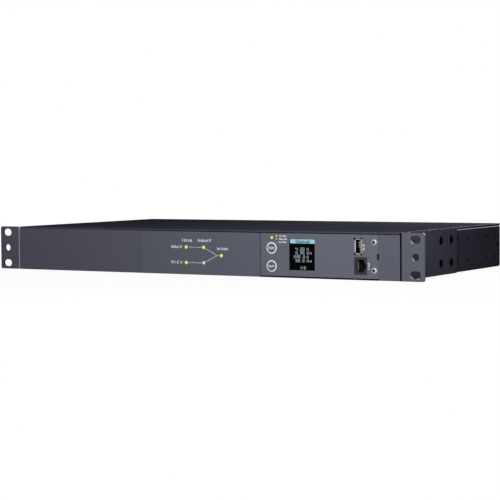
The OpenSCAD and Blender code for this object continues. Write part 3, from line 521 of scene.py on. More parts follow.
class Slabs:
    """Flat closed slabs on a face that looks to the front or the back, outlined in X and Z."""

    def __init__(self, face, thickness, outwards=-1):
        self.bm = bmesh.new()
        self.low = face
        self.high = face + outwards * thickness

    def outline(self, points):
        """One slab, from its corners in order."""
        rings = [[self.bm.verts.new((x, y, z)) for x, z in points] for y in (self.low, self.high)]
        self.bm.faces.new(rings[0])
        self.bm.faces.new(rings[1][::-1])
        self.sides(rings)

    def sides(self, rings):
        count = len(rings[0])
        for i in range(count):
            j = (i + 1) % count
            self.bm.faces.new((rings[0][j], rings[0][i], rings[1][i], rings[1][j]))

    def bar(self, x0, x1, z0, z1):
        self.outline([(x0, z0), (x1, z0), (x1, z1), (x0, z1)])

    def stroke(self, start, end, width):
        """A straight line of the given width between two points."""
        a, b = Vector(start), Vector(end)
        side = (b - a).normalized().orthogonal() * width / 2
        self.outline([tuple(a - side), tuple(b - side), tuple(b + side), tuple(a + side)])

    def ring(self, x, z, outer, inner, sides=64):
        turn = [2 * math.pi * i / sides for i in range(sides)]
        rings = [[self.bm.verts.new((x + r * math.cos(t), y, z + r * math.sin(t))) for t in turn]
                 for r, y in ((outer, self.low), (outer, self.high),
                              (inner, self.high), (inner, self.low))]
        for k in range(4):
            self.sides((rings[k], rings[(k + 1) % 4]))

    def mesh(self):
        bmesh.ops.recalc_face_normals(self.bm, faces=self.bm.faces)
        return to_mesh(self.bm)


# ---------------------------------------------------------------- repeats, made by Geometry Nodes

class Repeat(Nodes):
    """A Geometry Nodes tree under construction, with named inputs for its sizes."""

    def __init__(self, name, sizes):
        super().__init__(bpy.data.node_groups.new(name, "GeometryNodeTree"))
        new_socket = self.tree.interface.new_socket
        new_socket("Geometry", in_out="INPUT", socket_type="NodeSocketGeometry")
        new_socket("Geometry", in_out="OUTPUT", socket_type="NodeSocketGeometry")
        self.keys = {}
        for label, kind in sizes.items():
            socket = new_socket(label, in_out="INPUT", socket_type="NodeSocket" + kind)
            self.keys[label] = socket.identifier
        self.input = self.node("NodeGroupInput").outputs

    def close(self, geometry):
        """Ends the tree in Realize Instances and Set Material."""
        real = self.node("GeometryNodeRealizeInstances", None, {"Geometry": geometry})
        worn = self.node("GeometryNodeSetMaterial", None,
                         {"Geometry": real.outputs[0], "Material": self.input["Material"]})
        self.node("NodeGroupOutput", None, {0: worn.outputs[0]})
        return self

    def run(self, mesh, **values):
        """The plain mesh that the tree makes of a mesh."""
        work = bpy.data.objects.new("work", mesh)
        bpy.context.scene.collection.objects.link(work)
        modifier = work.modifiers.new("repeat", "NODES")
        modifier.node_group = self.tree
        for label, value in values.items():
            modifier[self.keys[label.replace("_", " ")]] = value
        seen = work.evaluated_get(bpy.context.evaluated_depsgraph_get())
        result = bpy.data.meshes.new_from_object(seen)
        bpy.data.objects.remove(work)
        return result


def points_mesh(places, **directions):
    """A mesh of loose points, each with its named direction."""
    mesh = bpy.data.meshes.new("points")
    mesh.from_pydata([tuple(p) for p in places], [], [])
    for name, values in directions.items():
        attribute = mesh.attributes.new(name, "FLOAT_VECTOR", "POINT")
        for i, value in enumerate(values):
            attribute.data[i].vector = value
    return mesh


def standing_tree():
    """A copy of a model at each point, its Z towards the point's direction, turned at random."""
    tree = Repeat("models_at_points", {"Model": "Object", "Seed": "Int", "Material": "Material"})
    facing = tree.node("GeometryNodeInputNamedAttribute", {"data_type": "FLOAT_VECTOR"},
                       {"Name": "facing"})
    turn = tree.node("FunctionNodeAlignRotationToVector", {"axis": "Z"},
                     {"Vector": facing.outputs[0]})
    spin = tree.node("FunctionNodeRandomValue", {"data_type": "FLOAT"},
                     {"Min": 0.0, "Max": math.pi / 2, "Seed": tree.input["Seed"]})
    about = tree.node("FunctionNodeAxisAngleToRotation", None,
                      {"Axis": (0, 0, 1), "Angle": next(o for o in spin.outputs if o.enabled)})
    both = tree.node("FunctionNodeRotateRotation", {"rotation_space": "LOCAL"},
                     {"Rotation": turn.outputs[0], "Rotate By": about.outputs[0]})
    model = tree.node("GeometryNodeObjectInfo", None, {"Object": tree.input["Model"]})
    placed = tree.node("GeometryNodeInstanceOnPoints", None,
                       {"Points": tree.input["Geometry"], "Instance": model.outputs["Geometry"],
                        "Rotation": both.outputs[0]})
    return tree.close(placed.outputs[0])


def dots_tree():
    """A flat dot at each point, in the plane of X and Z."""
    tree = Repeat("dots_at_points", {"Width": "Float", "Height": "Float", "Thickness": "Float",
                                     "Material": "Material"})
    size = tree.node("ShaderNodeCombineXYZ", None,
                     {"X": tree.input["Width"], "Y": tree.input["Thickness"],
                      "Z": tree.input["Height"]})
    dot = tree.node("GeometryNodeMeshCube", None, {"Size": size.outputs[0]})
    placed = tree.node("GeometryNodeInstanceOnPoints", None,
                       {"Points": tree.input["Geometry"], "Instance": dot.outputs["Mesh"]})
    return tree.close(placed.outputs[0])


def thread_tree():
    """A screw thread's ridge round the Z axis."""
    tree = Repeat("thread_ridge", {"Radius": "Float", "Pitch": "Float", "Turns": "Float",
                                   "Material": "Material"})
    rise = tree.node("ShaderNodeMath", {"operation": "MULTIPLY"},
                     {0: tree.input["Pitch"], 1: tree.input["Turns"]})
    path = tree.node("GeometryNodeCurveSpiral", None,
                     {"Resolution": 24, "Rotations": tree.input["Turns"],
                      "Start Radius": tree.input["Radius"], "End Radius": tree.input["Radius"],
                      "Height": rise.outputs[0]})
    width = tree.node("ShaderNodeMath", {"operation": "MULTIPLY"},
                      {0: tree.input["Pitch"], 1: 0.45})
    section = tree.node("GeometryNodeCurvePrimitiveCircle", {"mode": "RADIUS"},
                        {"Resolution": 4, "Radius": width.outputs[0]})
    ridge = tree.node("GeometryNodeCurveToMesh", None,
                      {"Curve": path.outputs[0], "Profile Curve": section.outputs[0],
                       "Fill Caps": True})
    return tree.close(ridge.outputs[0])


def revolved(profile, sides=40):
    """A closed solid of revolution about Z, from its outline as radius and height."""
    bm = bmesh.new()
    rings = []
    for radius, z in profile:
        if radius == 0:
            rings.append([bm.verts.new((0, 0, z))] * sides)
        else:
            turn = [2 * math.pi * i / sides for i in range(sides)]
            rings.append([bm.verts.new((radius * math.cos(t), radius * math.sin(t), z))
                          for t in turn])
    for low, high in zip(rings, rings[1:]):
        for i in range(sides):
            j = (i + 1) % sides
            corners = dict.fromkeys((low[i], low[j], high[j], high[i]))
            if len(corners) > 2:
                bm.faces.new(corners)
    bmesh.ops.recalc_face_normals(bm, faces=bm.faces)
    return bm


def cross_cutter(width, depth):
    """A cross that narrows downwards from zero, as a screwdriver's tip."""
    bm = bmesh.new()
    arm = width / 2
    half = width / 11
    corners = [(arm, half), (half, half), (half, arm), (-half, arm), (-half, half), (-arm, half)]
    corners += [(-x, -y) for x, y in corners]
    rings = [[bm.verts.new((x * k, y * k, z)) for x, y in corners]
             for k, z in ((1.12, 0.2 * MM), (0.55, -depth))]
    bm.faces.new(rings[0])
    bm.faces.new(rings[1][::-1])
    for i in range(len(corners)):
        j = (i + 1) % len(corners)
        bm.faces.new((rings[0][j], rings[0][i], rings[1][i], rings[1][j]))
    bmesh.ops.recalc_face_normals(bm, faces=bm.faces)
    return bm


def cross_screw(profile, width, depth):
    """A screw with a cross recess, the top of its head at zero and its tip down."""
    tool = bpy.data.objects.new("tool", to_mesh(cross_cutter(width, depth)))
    bpy.context.scene.collection.objects.link(tool)
    cut = baked_mesh(to_mesh(revolved(profile)),
                     ("BOOLEAN", {"operation": "DIFFERENCE", "object": tool, "solver": "EXACT"}))
    bpy.data.objects.remove(tool)
    bm = bmesh.new()
    bm.from_mesh(cut)
    mesh = to_mesh(bm, math.radians(35))
    # The recess and the dished middle of the head are marked, and metal() paints them dark as
    # painted shade
    recess = mesh.attributes.new("recess", "FLOAT", "FACE")
    for polygon in mesh.polygons:
        x, y, z = polygon.center
        below_rim = -1.05 * depth < z < -0.02 * MM
        recess.data[polygon.index].value = float(below_rim and math.hypot(x, y) < 0.62 * width)
    return mesh


def stand(mesh, places, directions, finish, seed=0):
    """Copies of a mesh at the places given, each standing towards its direction."""
    model = bpy.data.objects.new("model", mesh)
    bpy.context.scene.collection.objects.link(model)
    result = standing_tree().run(points_mesh(places, facing=directions), Model=model, Seed=seed,
                                 Material=Finish.made[finish].material)
    bpy.data.objects.remove(model)
    return result


def place_screws(node, screw, facing, finish, seed):
    """Screws in place of a CAD node's, their heads' tops where the CAD heads' tops are."""
    places = []
    directions = []
    for low, high in solids(node):
        out = Vector(facing) if facing else Vector((math.copysign(1, high.x), 0, 0))
        centre = (low + high) / 2
        reach = max(corner.dot(out) for corner in (low, high))
        places.append(centre + out * (reach - centre.dot(out)))
        directions.append(out)
    mesh = stand(screw, places, directions, finish, seed)
    return add_piece(node + "_turned", mesh, None, HOME, (node,))


# ---------------------------------------------------------------- figures and small print

# A figure's seven strokes, on a grid one unit wide and two high
STROKES = {
    "a": ((0, 2), (1, 2)), "b": ((1, 1), (1, 2)), "c": ((1, 0), (1, 1)), "d": ((0, 0), (1, 0)),
    "e": ((0, 0), (0, 1)), "f": ((0, 1), (0, 2)), "g": ((0, 1), (1, 1)),
}
FIGURES = {
    "0": "abcdef", "1": "bc", "2": "abged", "3": "abgcd", "4": "fgbc",
    "5": "afgcd", "6": "afgedc", "7": "abc", "8": "abcdefg", "9": "abcdfg",
}


def draw_figure(slabs, figure, x, z, height):
    """A figure of plain strokes that reads from behind, its middle at x and z."""
    unit = height / 2
    width = unit * 0.95
    reach = 0.09 * height
    for stroke in FIGURES[figure]:
        (u0, v0), (u1, v1) = STROKES[stroke]
        du, dv = (reach, 0) if v0 == v1 else (0, reach)
        start = (x - (u0 - 0.5) * width + du, z + (v0 - 1) * unit - dv)
        end = (x - (u1 - 0.5) * width - du, z + (v1 - 1) * unit + dv)
        slabs.stroke(start, end, 2 * reach)


def figure_dots(text, columns=4, rows=7):
    """The dots of a row of figures on a display, as column and row from the text's lower left."""
    dots = set()
    for place, character in enumerate(text):
        left = place * (columns + 1)
        if character == ".":
            dots.add((left + 1, 0))
        elif character == "/":
            dots |= {(left + round(i * (columns - 1) / (rows - 1)), i) for i in range(rows)}
        for stroke in FIGURES.get(character, ""):
            (u0, v0), (u1, v1) = STROKES[stroke]
            for i in range(rows):
                u = u0 + (u1 - u0) * i / (rows - 1)
                v = v0 + (v1 - v0) * i / (rows - 1)
                dots.add((left + round(u * (columns - 1)), round(v * (rows - 1) / 2)))
    return dots


def small_print(slabs, x, z, width, height, rng, upright=False):
    """A row of short strokes of mixed heights in place of a word, its middle at x and z."""
    half = 0.1 * height
    step = 0.42 * height
    short = 0.72 * height
    # How often a stroke is tall, is left out, or is joined to the next, and how often at its top
    tall_share, gap_share, link_share, top_share = 0.2, 0.14, 0.65, 0.6
    count = max(2, round(width / step))
    for i in range(count):
        along = (i - (count - 1) / 2) * width / count
        tall = height if i == 0 or rng.random() < tall_share else short
        if i and rng.random() < gap_share:
            continue
        low = -height / 2
        cap = low + (tall if rng.random() < top_share else 0.0)
        # Each bar as its ends along the word and across it
        bars = [(along - half, along + half, low, low + tall)]
        if rng.random() < link_share:
            bars.append((along, along + step, cap - half, cap + half))
        for u0, u1, v0, v1 in bars:
            if upright:
                slabs.bar(x - v1, x - v0, z + u0, z + u1)
            else:
                slabs.bar(x + u0, x + u1, z + v0, z + v1)


# ---------------------------------------------------------------- the pieces, group by group

class SWITCH_OT_finishes(bpy.types.Operator):
    """Make the finishes that the pieces wear"""
    bl_idname = "switch.finishes"
    bl_label = "Finishes"

    def execute(self, context):
        sheet = context.scene.switch_sheet
        prints = context.scene.switch_prints
        display = context.scene.switch_display
        lamps = context.scene.switch_lamps
        # The last two coats are darker copies of the panel's and the case's paint: painted shade on
        # the flange's side face and on the cover's front face
        for name, rgb in (("case_coat", sheet.case), ("panel_coat", sheet.panel),
                          ("module_coat", sheet.module), ("flange_coat", sheet.flange),
                          ("cut_edge", tinted(sheet.case, sheet.cut))):
            powder_coat(name, rgb, sheet.grain, sheet.gloss)
        # Glossier copies of the case's coat, put on chosen edges as painted highlights
        for name, share in zip(("faint_wear", "plain_wear", "bright_wear"), sheet.wear):
            powder_coat(name, sheet.case, sheet.grain, share, even=True)
        satin_film("printed_film", sheet.film, sheet.gloss)
        # A darker copy of the film, as painted shade along its left edge
        satin_film("film_seam", tinted(sheet.film, sheet.seam), sheet.gloss)
        satin_film("slot_shade", (0.008, 0.008, 0.010), 0.0)
        moulded("black_moulding", (0.013, 0.013, 0.015))
        moulded("jack_moulding", (0.033, 0.035, 0.048))
        moulded("black_lacquer", (0.006, 0.006, 0.007), 0.6, 0.0)
        moulded("white_moulding", (0.78, 0.77, 0.73), 0.35)
        moulded("cap_moulding", sheet.module, 0.4)
        moulded("relay_moulding", (0.012, 0.018, 0.055), 0.35)
        moulded("terminal_moulding", (0.010, 0.11, 0.05), 0.4)
        moulded("sensor_moulding", (0.02, 0.03, 0.16), 0.35)
        moulded("shrink_sleeve", (0.012, 0.018, 0.07), 0.25)
        moulded("wire_sleeve", (0.30, 0.02, 0.012), 0.35)
        moulded("ribbon_sleeve", (0.30, 0.30, 0.32), 0.45)
        moulded("guide_brass", (0.19, 0.16, 0.15), 0.5)
        moulded("lamp_off", (0.82, 0.88, 0.94), 0.2)
        moulded("window_gloss", (0.0012, 0.0013, 0.0016), 0.1, 0.0).glaze(0.002, 0.08)
        metal("black_oxide", (0.014, 0.014, 0.016), 0.4)
        metal("bright_zinc", (0.80, 0.81, 0.83), 0.2)
        metal("dull_zinc", (0.40, 0.41, 0.43), 0.55)
        metal("nickel", (0.78, 0.78, 0.80), 0.22)
        metal("nickel_nut", (0.72, 0.72, 0.74), 0.28)
        metal("dull_nickel", (0.50, 0.49, 0.47), 0.35)
        metal("flare_nickel", (0.26, 0.25, 0.23), 0.5)
        metal("gold_plate", (0.90, 0.66, 0.28), 0.2)
        metal("dull_gold", (0.50, 0.39, 0.22), 0.35)
        metal("turned_brass", (0.74, 0.56, 0.24), 0.3)
        metal("extruded_aluminium", (0.72, 0.73, 0.75), 0.35, grain=(1, 0.08, 1))
        metal("varnished_steel", (0.12, 0.09, 0.08), 0.45, grain=(1, 14, 1), depth=0.05 * MM)
        spangle("zinc_sheet", (0.60, 0.61, 0.63))
        circuit_board("solder_mask", (0.010, 0.075, 0.035))
        ink("white_ink", prints.ink)
        ink("yellow_mark", (1.0, 1.0, 0.02))
        ink("amber_mark", (0.85, 0.68, 0.05))
        ink("crimson_mark", (0.95, 0.03, 0.16))
        glowing("header_glow", display.header, display.glow)
        glowing("figure_glow", display.figures, display.glow)
        glowing("lamp_glow", lamps.core, lamps.glow, rim=lamps.rim)
        glowing("ready_glow", lamps.ready, lamps.glow, rim=lamps.ready_rim)
        return {"FINISHED"}


class SWITCH_OT_sheet_metal(bpy.types.Operator):
    """Break the edges of the painted sheet metal, and give chosen edges painted highlights and
    chosen gaps and holes painted shade
    """
    bl_idname = "switch.sheet_metal"
    bl_label = "Sheet metal"

    # Where the folds and holes of the sides lie, in millimetres from the middle or the front
    upper_fold = 19
    side_wall = (214, 218)
    flange_face = (217, 219)
    ear_plate = (220, 241)
    ear_holes = (222, 239)
    flange_holes = (10, 124)
    flange_end = 125
    # How deep the panel's front edge is, and how far it is drawn out, in millimetres
    edge_depth = 0.6
    left_lip = 1.7
    right_lip = 2.0
    top_lip = 0.7

    def execute(self, context):
        edge = context.scene.switch_sheet.edge
        tray = dress("chassis_tray", "case_coat", edge, name="tray_sheet")
        cover = dress("top_cover", "case_coat", edge, name="cover_sheet")
        panel = dress("front_panel", "panel_coat", edge, name="panel_sheet")
        self.lips(panel)
        self.fold()
        left = dress("rack_ear_left", "panel_coat", edge, name="left_ear_sheet")
        right = dress("rack_ear_right", "panel_coat", edge, name="right_ear_sheet")
        # The order counts, as a face keeps the last finish that it gets
        # Edges that face up and to the right get glossier coats, as painted highlights
        for piece, wear in ((tray, "bright_wear"), (cover, "faint_wear"), (right, "plain_wear")):
            touch(piece, wear, self.on_upper_fold)
        # Painted shade: near-black on the tray's lower front edge, the ears' bends and the walls of
        # the holes
        touch(tray, "slot_shade", self.on_tray_front)
        # The cover's front face gets a darker coat, as painted shade
        touch(cover, "cut_edge", self.on_cover_front)
        # The left ear's bend gets the brightest gloss, as a painted highlight
        touch(left, "bright_wear", self.on_left_bend)
        touch(left, "slot_shade", self.in_left_ear_hole)
        # The flange's side face gets a darker coat, as painted shade
        touch(right, "flange_coat", self.on_flange)
        touch(right, "slot_shade", self.on_right_bend)
        # The right ear's outer edge and the flange's rear edge get a faint painted highlight
        touch(right, "faint_wear", self.on_outer_edge)
        # Walls of the right ear's holes that face up and to the right get bare zinc, as painted
        # highlights
        touch(right, "dull_zinc", self.right_ear_hole_highlight)
        touch(right, "slot_shade", self.in_flange_hole)
        for piece in (tray, right):
            touch(piece, "slot_shade", self.in_side_hole)
        dress("module_plate", "module_coat", edge, name="module_sheet")
        paint_node("module_tray", "zinc_sheet")
        # The bracket behind the plate's notch is painted near-black, as painted shade in the notch
        paint_node("module_bracket", "slot_shade")
        return {"FINISHED"}

    def fold(self):
        """Painted shade: a near-black strip at the foot of the right ear's bend."""
        low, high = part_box("rack_ear_right")
        foot = low.x + 2.0 * MM
        short = 0.3 * MM
        line = Slabs(low.y, 0.02 * MM)
        line.bar(foot, foot + 1.0 * MM, low.z + short, high.z - short)
        add_piece("ear_fold_line", line.mesh(), "slot_shade")

    def lips(self, panel):
        """Draws the panel's front edges out into thin lips over the ears' bends and the cover."""
        low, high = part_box("front_panel")
        near = 0.3 * MM
        for vertex in panel.data.vertices:
            place = vertex.co
            if place.y >= low.y + self.edge_depth * MM:
                continue
            if place.x > high.x - near:
                place.x += self.right_lip * MM
            elif place.x < low.x + near:
                place.x -= self.left_lip * MM
                if place.z > high.z - 1.0 * MM:
                    place.z += self.top_lip * MM

    # Tests of a face by its direction n and its middle c

    def on_tray_front(self, n, c):
        return n.y < -0.9 and c.y < 1 and c.z < 0

    def on_cover_front(self, n, c):
        return n.y < -0.5 and c.y < 2

    def on_left_bend(self, n, c):
        return 0.4 < n.x < 0.72 and n.y < -0.2

    def on_right_bend(self, n, c):
        return n.x < -0.25 and n.y < -0.2 and c.y < 3

    def on_upper_fold(self, n, c):
        return n.x > 0.25 and n.z > 0.25 and c.z > self.upper_fold

    def on_flange(self, n, c):
        return n.x > 0.9 and self.flange_face[0] < c.x < self.flange_face[1]

    def on_outer_edge(self, n, c):
        return n.x > 0.6 and (c.x > self.ear_plate[1] or c.y > self.flange_end)

    def in_left_ear_hole(self, n, c):
        return n.x > 0.3 and abs(n.y) < 0.1 and self.ear_holes[0] < -c.x < self.ear_holes[1]

    # Hole walls that face up and to the right, given bare zinc as a painted highlight
    def right_ear_hole_highlight(self, n, c):
        return n.x > 0.3 and n.z > 0.2 and abs(n.y) < 0.1 and c.x > self.ear_plate[0]

    def in_flange_hole(self, n, c):
        front, back = self.flange_holes
        return 0.2 < n.x < 0.95 and abs(c.z) < self.upper_fold and front < c.y < back

    def in_side_hole(self, n, c):
        inner, outer = self.side_wall
        return abs(n.x) < 0.3 and abs(c.z) < self.upper_fold and inner < c.x < outer


class SWITCH_OT_prints(bpy.types.Operator):
    """Print the film's diagram and the module's marks"""
    bl_idname = "switch.prints"
    bl_label = "Prints"

    def execute(self, context):
        prints = context.scene.switch_prints
        rng = random.Random(prints.seed)
        paint_node("mimic_overlay", "printed_film")
        self.diagram(prints, rng)
        self.module_marks(prints, rng)
        return {"FINISHED"}

    def diagram(self, prints, rng):
        """The supply lines between the lamps, and a mark beside each lamp."""
        low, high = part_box("mimic_overlay")
        slabs = Slabs(low.y, prints.thickness)
        places = [(middle(box).x, middle(box).z) for box in solids("mimic_lamps")]
        first_a, first_b, second_a, second_b, last = lamp_order(places)
        gap = 2.5 * MM
        half = prints.line / 2
        reach = 4.7 * MM
        joint = (last[0] - reach, last[1])
        for start, end in ((first_a, second_a), (first_b, second_b)):
            slabs.bar(start[0] + gap, end[0] - gap, start[1] - half, start[1] + half)
        for start in (second_a, second_b):
            way = (Vector(joint) - Vector(start)).normalized()
            slabs.stroke(tuple(Vector(start) + way * gap), joint, prints.line)
        slabs.bar(joint[0], last[0] - gap, joint[1] - half, joint[1] + half)
        # Each mark's lamp, its place across and up from the lamp, and its width, in millimetres
        marks = [(first_a, 0.7, 6.4, 11.6), (second_a, 0.7, 6.7, 15.0)]
        for lamp in (first_a, first_b):
            marks += [(lamp, -12.8, 0.2, 9.6), (lamp, -6.0, 0.2, 1.9)]
        marks.append((last, 1.3, 6.6, 12.6))
        for (x, z), across, up, width in marks:
            small_print(slabs, x + across * MM, z + up * MM, width * MM, prints.letter, rng)
        add_piece("film_diagram", slabs.mesh(), "white_ink")
        # A darker strip along the film's left edge, as painted shade
        film_shade_width = 2.2 * MM
        seam = Slabs(low.y, prints.thickness)
        seam.bar(low.x, low.x + film_shade_width, low.z, high.z)
        add_piece("film_seam", seam.mesh(), "film_seam")

    def module_marks(self, prints, rng):
        """Colour marks by the status light, and the ports' marks."""
        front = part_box("module_plate")[0].y
        light = middle(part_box("status_light"))
        words = Slabs(front, prints.thickness)
        mark_x = light.x + 5.0 * MM
        word_x = light.x + 11.9 * MM
        half = 0.55 * MM
        for drop, name in ((-1.7, "yellow_mark"), (1.3, "amber_mark"), (4.2, "crimson_mark")):
            z = light.z - drop * MM
            mark = Slabs(front, prints.thickness)
            mark.bar(mark_x - half, mark_x + half, z - 0.8 * MM, z + 0.7 * MM)
            add_piece(name, mark.mesh(), name)
            small_print(words, word_x, z, 8.6 * MM, 1.6 * MM, rng)
        usb = middle(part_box("usb_shell"))
        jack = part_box("jack_housing")
        # Each port's mark: its middle, its length and its height
        for x, z, along, tall in ((usb.x + 5.7 * MM, usb.z - 0.8 * MM, 5.4 * MM, 1.8 * MM),
                                  (jack[1].x + 1.8 * MM, middle(jack).z, 6.6 * MM, 1.6 * MM)):
            small_print(words, x, z, along, tall, rng, upright=True)
        add_piece("module_words", words.mesh(), "white_ink")


def lamp_order(places):
    """The lamps' places: the first of each supply, the second of each, and the output's."""
    columns = sorted({round(x, 4) for x, _ in places})
    by_column = [sorted((p for p in places if round(p[0], 4) == x), key=lambda p: -p[1])
                 for x in columns]
    return (*by_column[0], *by_column[1], *by_column[2])


class SWITCH_OT_display(bpy.types.Operator):
    """Light the display's picture behind its window"""
    bl_idname = "switch.display"
    bl_label = "Display"

    # The two kinds of unit, as columns of dots with their lowest and highest row
    short = ((0, 0, 6), (1, 6, 7), (2, 6, 7), (3, 0, 6))
    long = ((0, 0, 7), (1, 3, 4), (3, 0, 7), (6, 0, 4), (8, 2, 5), (9, 0, 5))
    # Each row: its height above the window's middle, its first column, reading and unit
    rows = ((5.2, 4, "4.20", short), (1.7, 4, "0.96", long), (-2.0, 0, "230.0", short),
            (-5.7, 4, "50.0", long), (-12.3, 12, "1/2", ()))

    # The column that the units start in, and how much of its pitch a dot fills
    unit_column = 28
    dot_width = 0.72
    dot_height = 0.94
    # The window's margins beside the header and the readings
    header_left = 2.9 * MM
    header_right = 1.5 * MM
    readings_left = 7.0 * MM
    # How far the header's foot, top and title lie above the window's middle
    header_foot = 10.4 * MM
    header_top = 14.3 * MM
    title_height = 12.2 * MM

    def execute(self, context):
        display = context.scene.switch_display
        low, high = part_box("lcd_window")
        film = 0.02 * MM
        paint_node("lcd_window", "window_gloss")
        paint_node("lcd_display", "window_gloss")
        bar = Slabs(low.y, film)
        bar.bar(low.x + self.header_left, high.x - self.header_right, self.header_foot,
                self.header_top)
        add_piece("display_header", bar.mesh(), "header_glow")
        title = Slabs(low.y - film, film)
        title_x = (low.x + high.x) / 2 + 0.8 * MM
        small_print(title, title_x, self.title_height, 15.4 * MM, 2.8 * MM, random.Random(3))
        add_piece("display_title", title.mesh(), "window_gloss")
        start = low.x + self.readings_left
        column = 1.3 * display.dot
        places = []
        for height, first, reading, unit in self.rows:
            dots = {(first + c, r) for c, r in figure_dots(reading)}
            dots |= {(c + self.unit_column, r) for c, r0, r1 in unit for r in range(r0, r1)}
            for c, r in sorted(dots):
                places.append((start + c * column, low.y, height * MM + (r - 3) * display.dot))
        mesh = dots_tree().run(points_mesh(places), Width=column * self.dot_width,
                               Height=display.dot * self.dot_height, Thickness=2 * film,
                               Material=Finish.made["figure_glow"].material)
        add_piece("display_readings", mesh, None)
        return {"FINISHED"}


def dome(radius, proud, depth, steps=7):
    """A lens of revolution with a rounded front, its flange's plane at zero, towards +Z."""
    curve = [(radius * math.sin(t), proud * math.cos(t))
             for t in (math.pi / 2 * i / steps for i in range(steps + 1))]
    bm = revolved([*curve, (radius, -depth), (0, -depth)], sides=32)
    mesh = to_mesh(bm, math.radians(50))
    rim = mesh.attributes.new("rim", "FLOAT", "POINT")
    for vertex in mesh.vertices:
        rim.data[vertex.index].value = min(1.0, math.hypot(vertex.co.x, vertex.co.y) / radius)
    return mesh


class SWITCH_OT_lamps(bpy.types.Operator):
    """Set domed lenses in place of the lamps"""
    bl_idname = "switch.lamps"
    bl_label = "Lamps"

    lamp_radius = 1.68 * MM
    lamp_depth = 6 * MM
    status_radius = 1.25 * MM
    status_depth = 10 * MM

    def execute(self, context):
        proud = context.scene.switch_lamps.dome
        places = [(middle(box).x, middle(box).z) for box in solids("mimic_lamps")]
        unlit = lamp_order(places)[3]
        lit = [place for place in places if place != unlit]
        light = middle(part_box("status_light"))
        self.lenses("lamps_lit", "mimic_overlay", lit, "lamp_glow",
                    dome(self.lamp_radius, 0.5 * proud, self.lamp_depth), ("mimic_lamps",))
        self.lenses("lamp_unlit", "mimic_overlay", [unlit], "lamp_off",
                    dome(self.lamp_radius, proud, self.lamp_depth))
        self.lenses("status_lens", "module_plate", [(light.x, light.z)], "ready_glow",
                    dome(self.status_radius, 0.7 * proud, self.status_depth), ("status_light",))
        return {"FINISHED"}

    def lenses(self, name, face, places, finish, lens, stands_for=()):
        """Lenses of one kind on the front of a CAD node."""
        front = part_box(face)[0].y
        points = [Vector((x, front, z)) for x, z in places]
        mesh = stand(lens, points, [Vector((0, -1, 0))] * len(points), finish)
        add_piece(name, mesh, None, HOME, stands_for)


class SWITCH_OT_buttons(bpy.types.Operator):
    """Dress the two push buttons, their rings and their marks"""
    bl_idname = "switch.buttons"
    bl_label = "Buttons"

    crown = 40 * MM
    ring_radius = 5.4 * MM

    def execute(self, context):
        prints = context.scene.switch_prints
        rng = random.Random(prints.seed + 1)
        rings = Slabs(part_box("module_plate")[0].y, prints.thickness)
        for body in ("select_button", "enter_button"):
            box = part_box(body)
            centre = middle(box)
            dress(body, "cap_moulding", edge=0.12 * MM, body=body)
            mark = Slabs(box[0].y, prints.thickness)
            small_print(mark, centre.x, centre.z, 6.4 * MM, 1.9 * MM, rng)
            mesh = mark.mesh()
            for vertex in mesh.vertices:
                away = math.hypot(vertex.co.x - centre.x, vertex.co.z - centre.z)
                vertex.co.y += self.crown - math.sqrt(self.crown ** 2 - away ** 2)
            add_piece(body + "_mark", mesh, "white_ink", body)
            rings.ring(centre.x, centre.z, self.ring_radius, self.ring_radius - prints.ring)
        add_piece("button_rings", rings.mesh(), "white_ink")
        paint_node("button_switches", "black_moulding")
        return {"FINISHED"}


class SWITCH_OT_ports(bpy.types.Operator):
    """Finish the USB port, the network jack and what lies behind them"""
    bl_idname = "switch.ports"
    bl_label = "Ports"

    def execute(self, context):
        dress("usb_shell", "dull_nickel", edge=0.08 * MM)
        dress("jack_housing", "jack_moulding", edge=0.15 * MM)
        paint_node("usb_tongue", "black_moulding")
        paint_node("usb_contacts", "dull_gold")
        paint_node("jack_contacts", "dull_gold")
        self.rim()
        self.comb()
        return {"FINISHED"}

    def rim(self):
        """Painted shade in the relief cuts at the corners of the USB port's opening, as near-black
        squares, and its flared right edge.
        """
        low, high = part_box("usb_shell")
        out = 0.1 * MM
        half = 0.75 * MM
        shade_squares = Slabs(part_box("module_plate")[0].y, 0.36 * MM)
        for x in (low.x - out, high.x + out):
            for z in (low.z, high.z):
                shade_squares.bar(x - half, x + half, z - half, z + half)
        add_piece("port_corner_cuts", shade_squares.mesh(), "slot_shade")
        short = 0.8 * MM
        flare = Slabs(low.y, 0.04 * MM)
        flare.bar(high.x - 0.5 * MM, high.x + 1.0 * MM, low.z + short, high.z - short)
        add_piece("port_flare", flare.mesh(), "flare_nickel")

    def comb(self):
        """A near-black strip as painted shade in the slot, and the comb of guides, at the left of
        the jack's mouth.
        """
        low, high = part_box("jack_housing")
        centre = (low.z + high.z) / 2
        reach = 4.4 * MM
        slot = Slabs(low.y, 0.02 * MM)
        slot.bar(low.x + 2.1 * MM, low.x + 2.9 * MM, centre - reach, centre + reach)
        add_piece("jack_slot", slot.mesh(), "slot_shade")
        count = 8
        pitch = 1.02 * MM
        half = 0.3 * MM
        sunk = 1.9 * MM
        guides = Slabs(low.y + sunk, 1.4 * MM)
        for i in range(count):
            z = centre + (i - (count - 1) / 2) * pitch
            guides.bar(low.x + 3.3 * MM, low.x + 4.4 * MM, z - half, z + half)
        add_piece("jack_guides", guides.mesh(), "guide_brass")


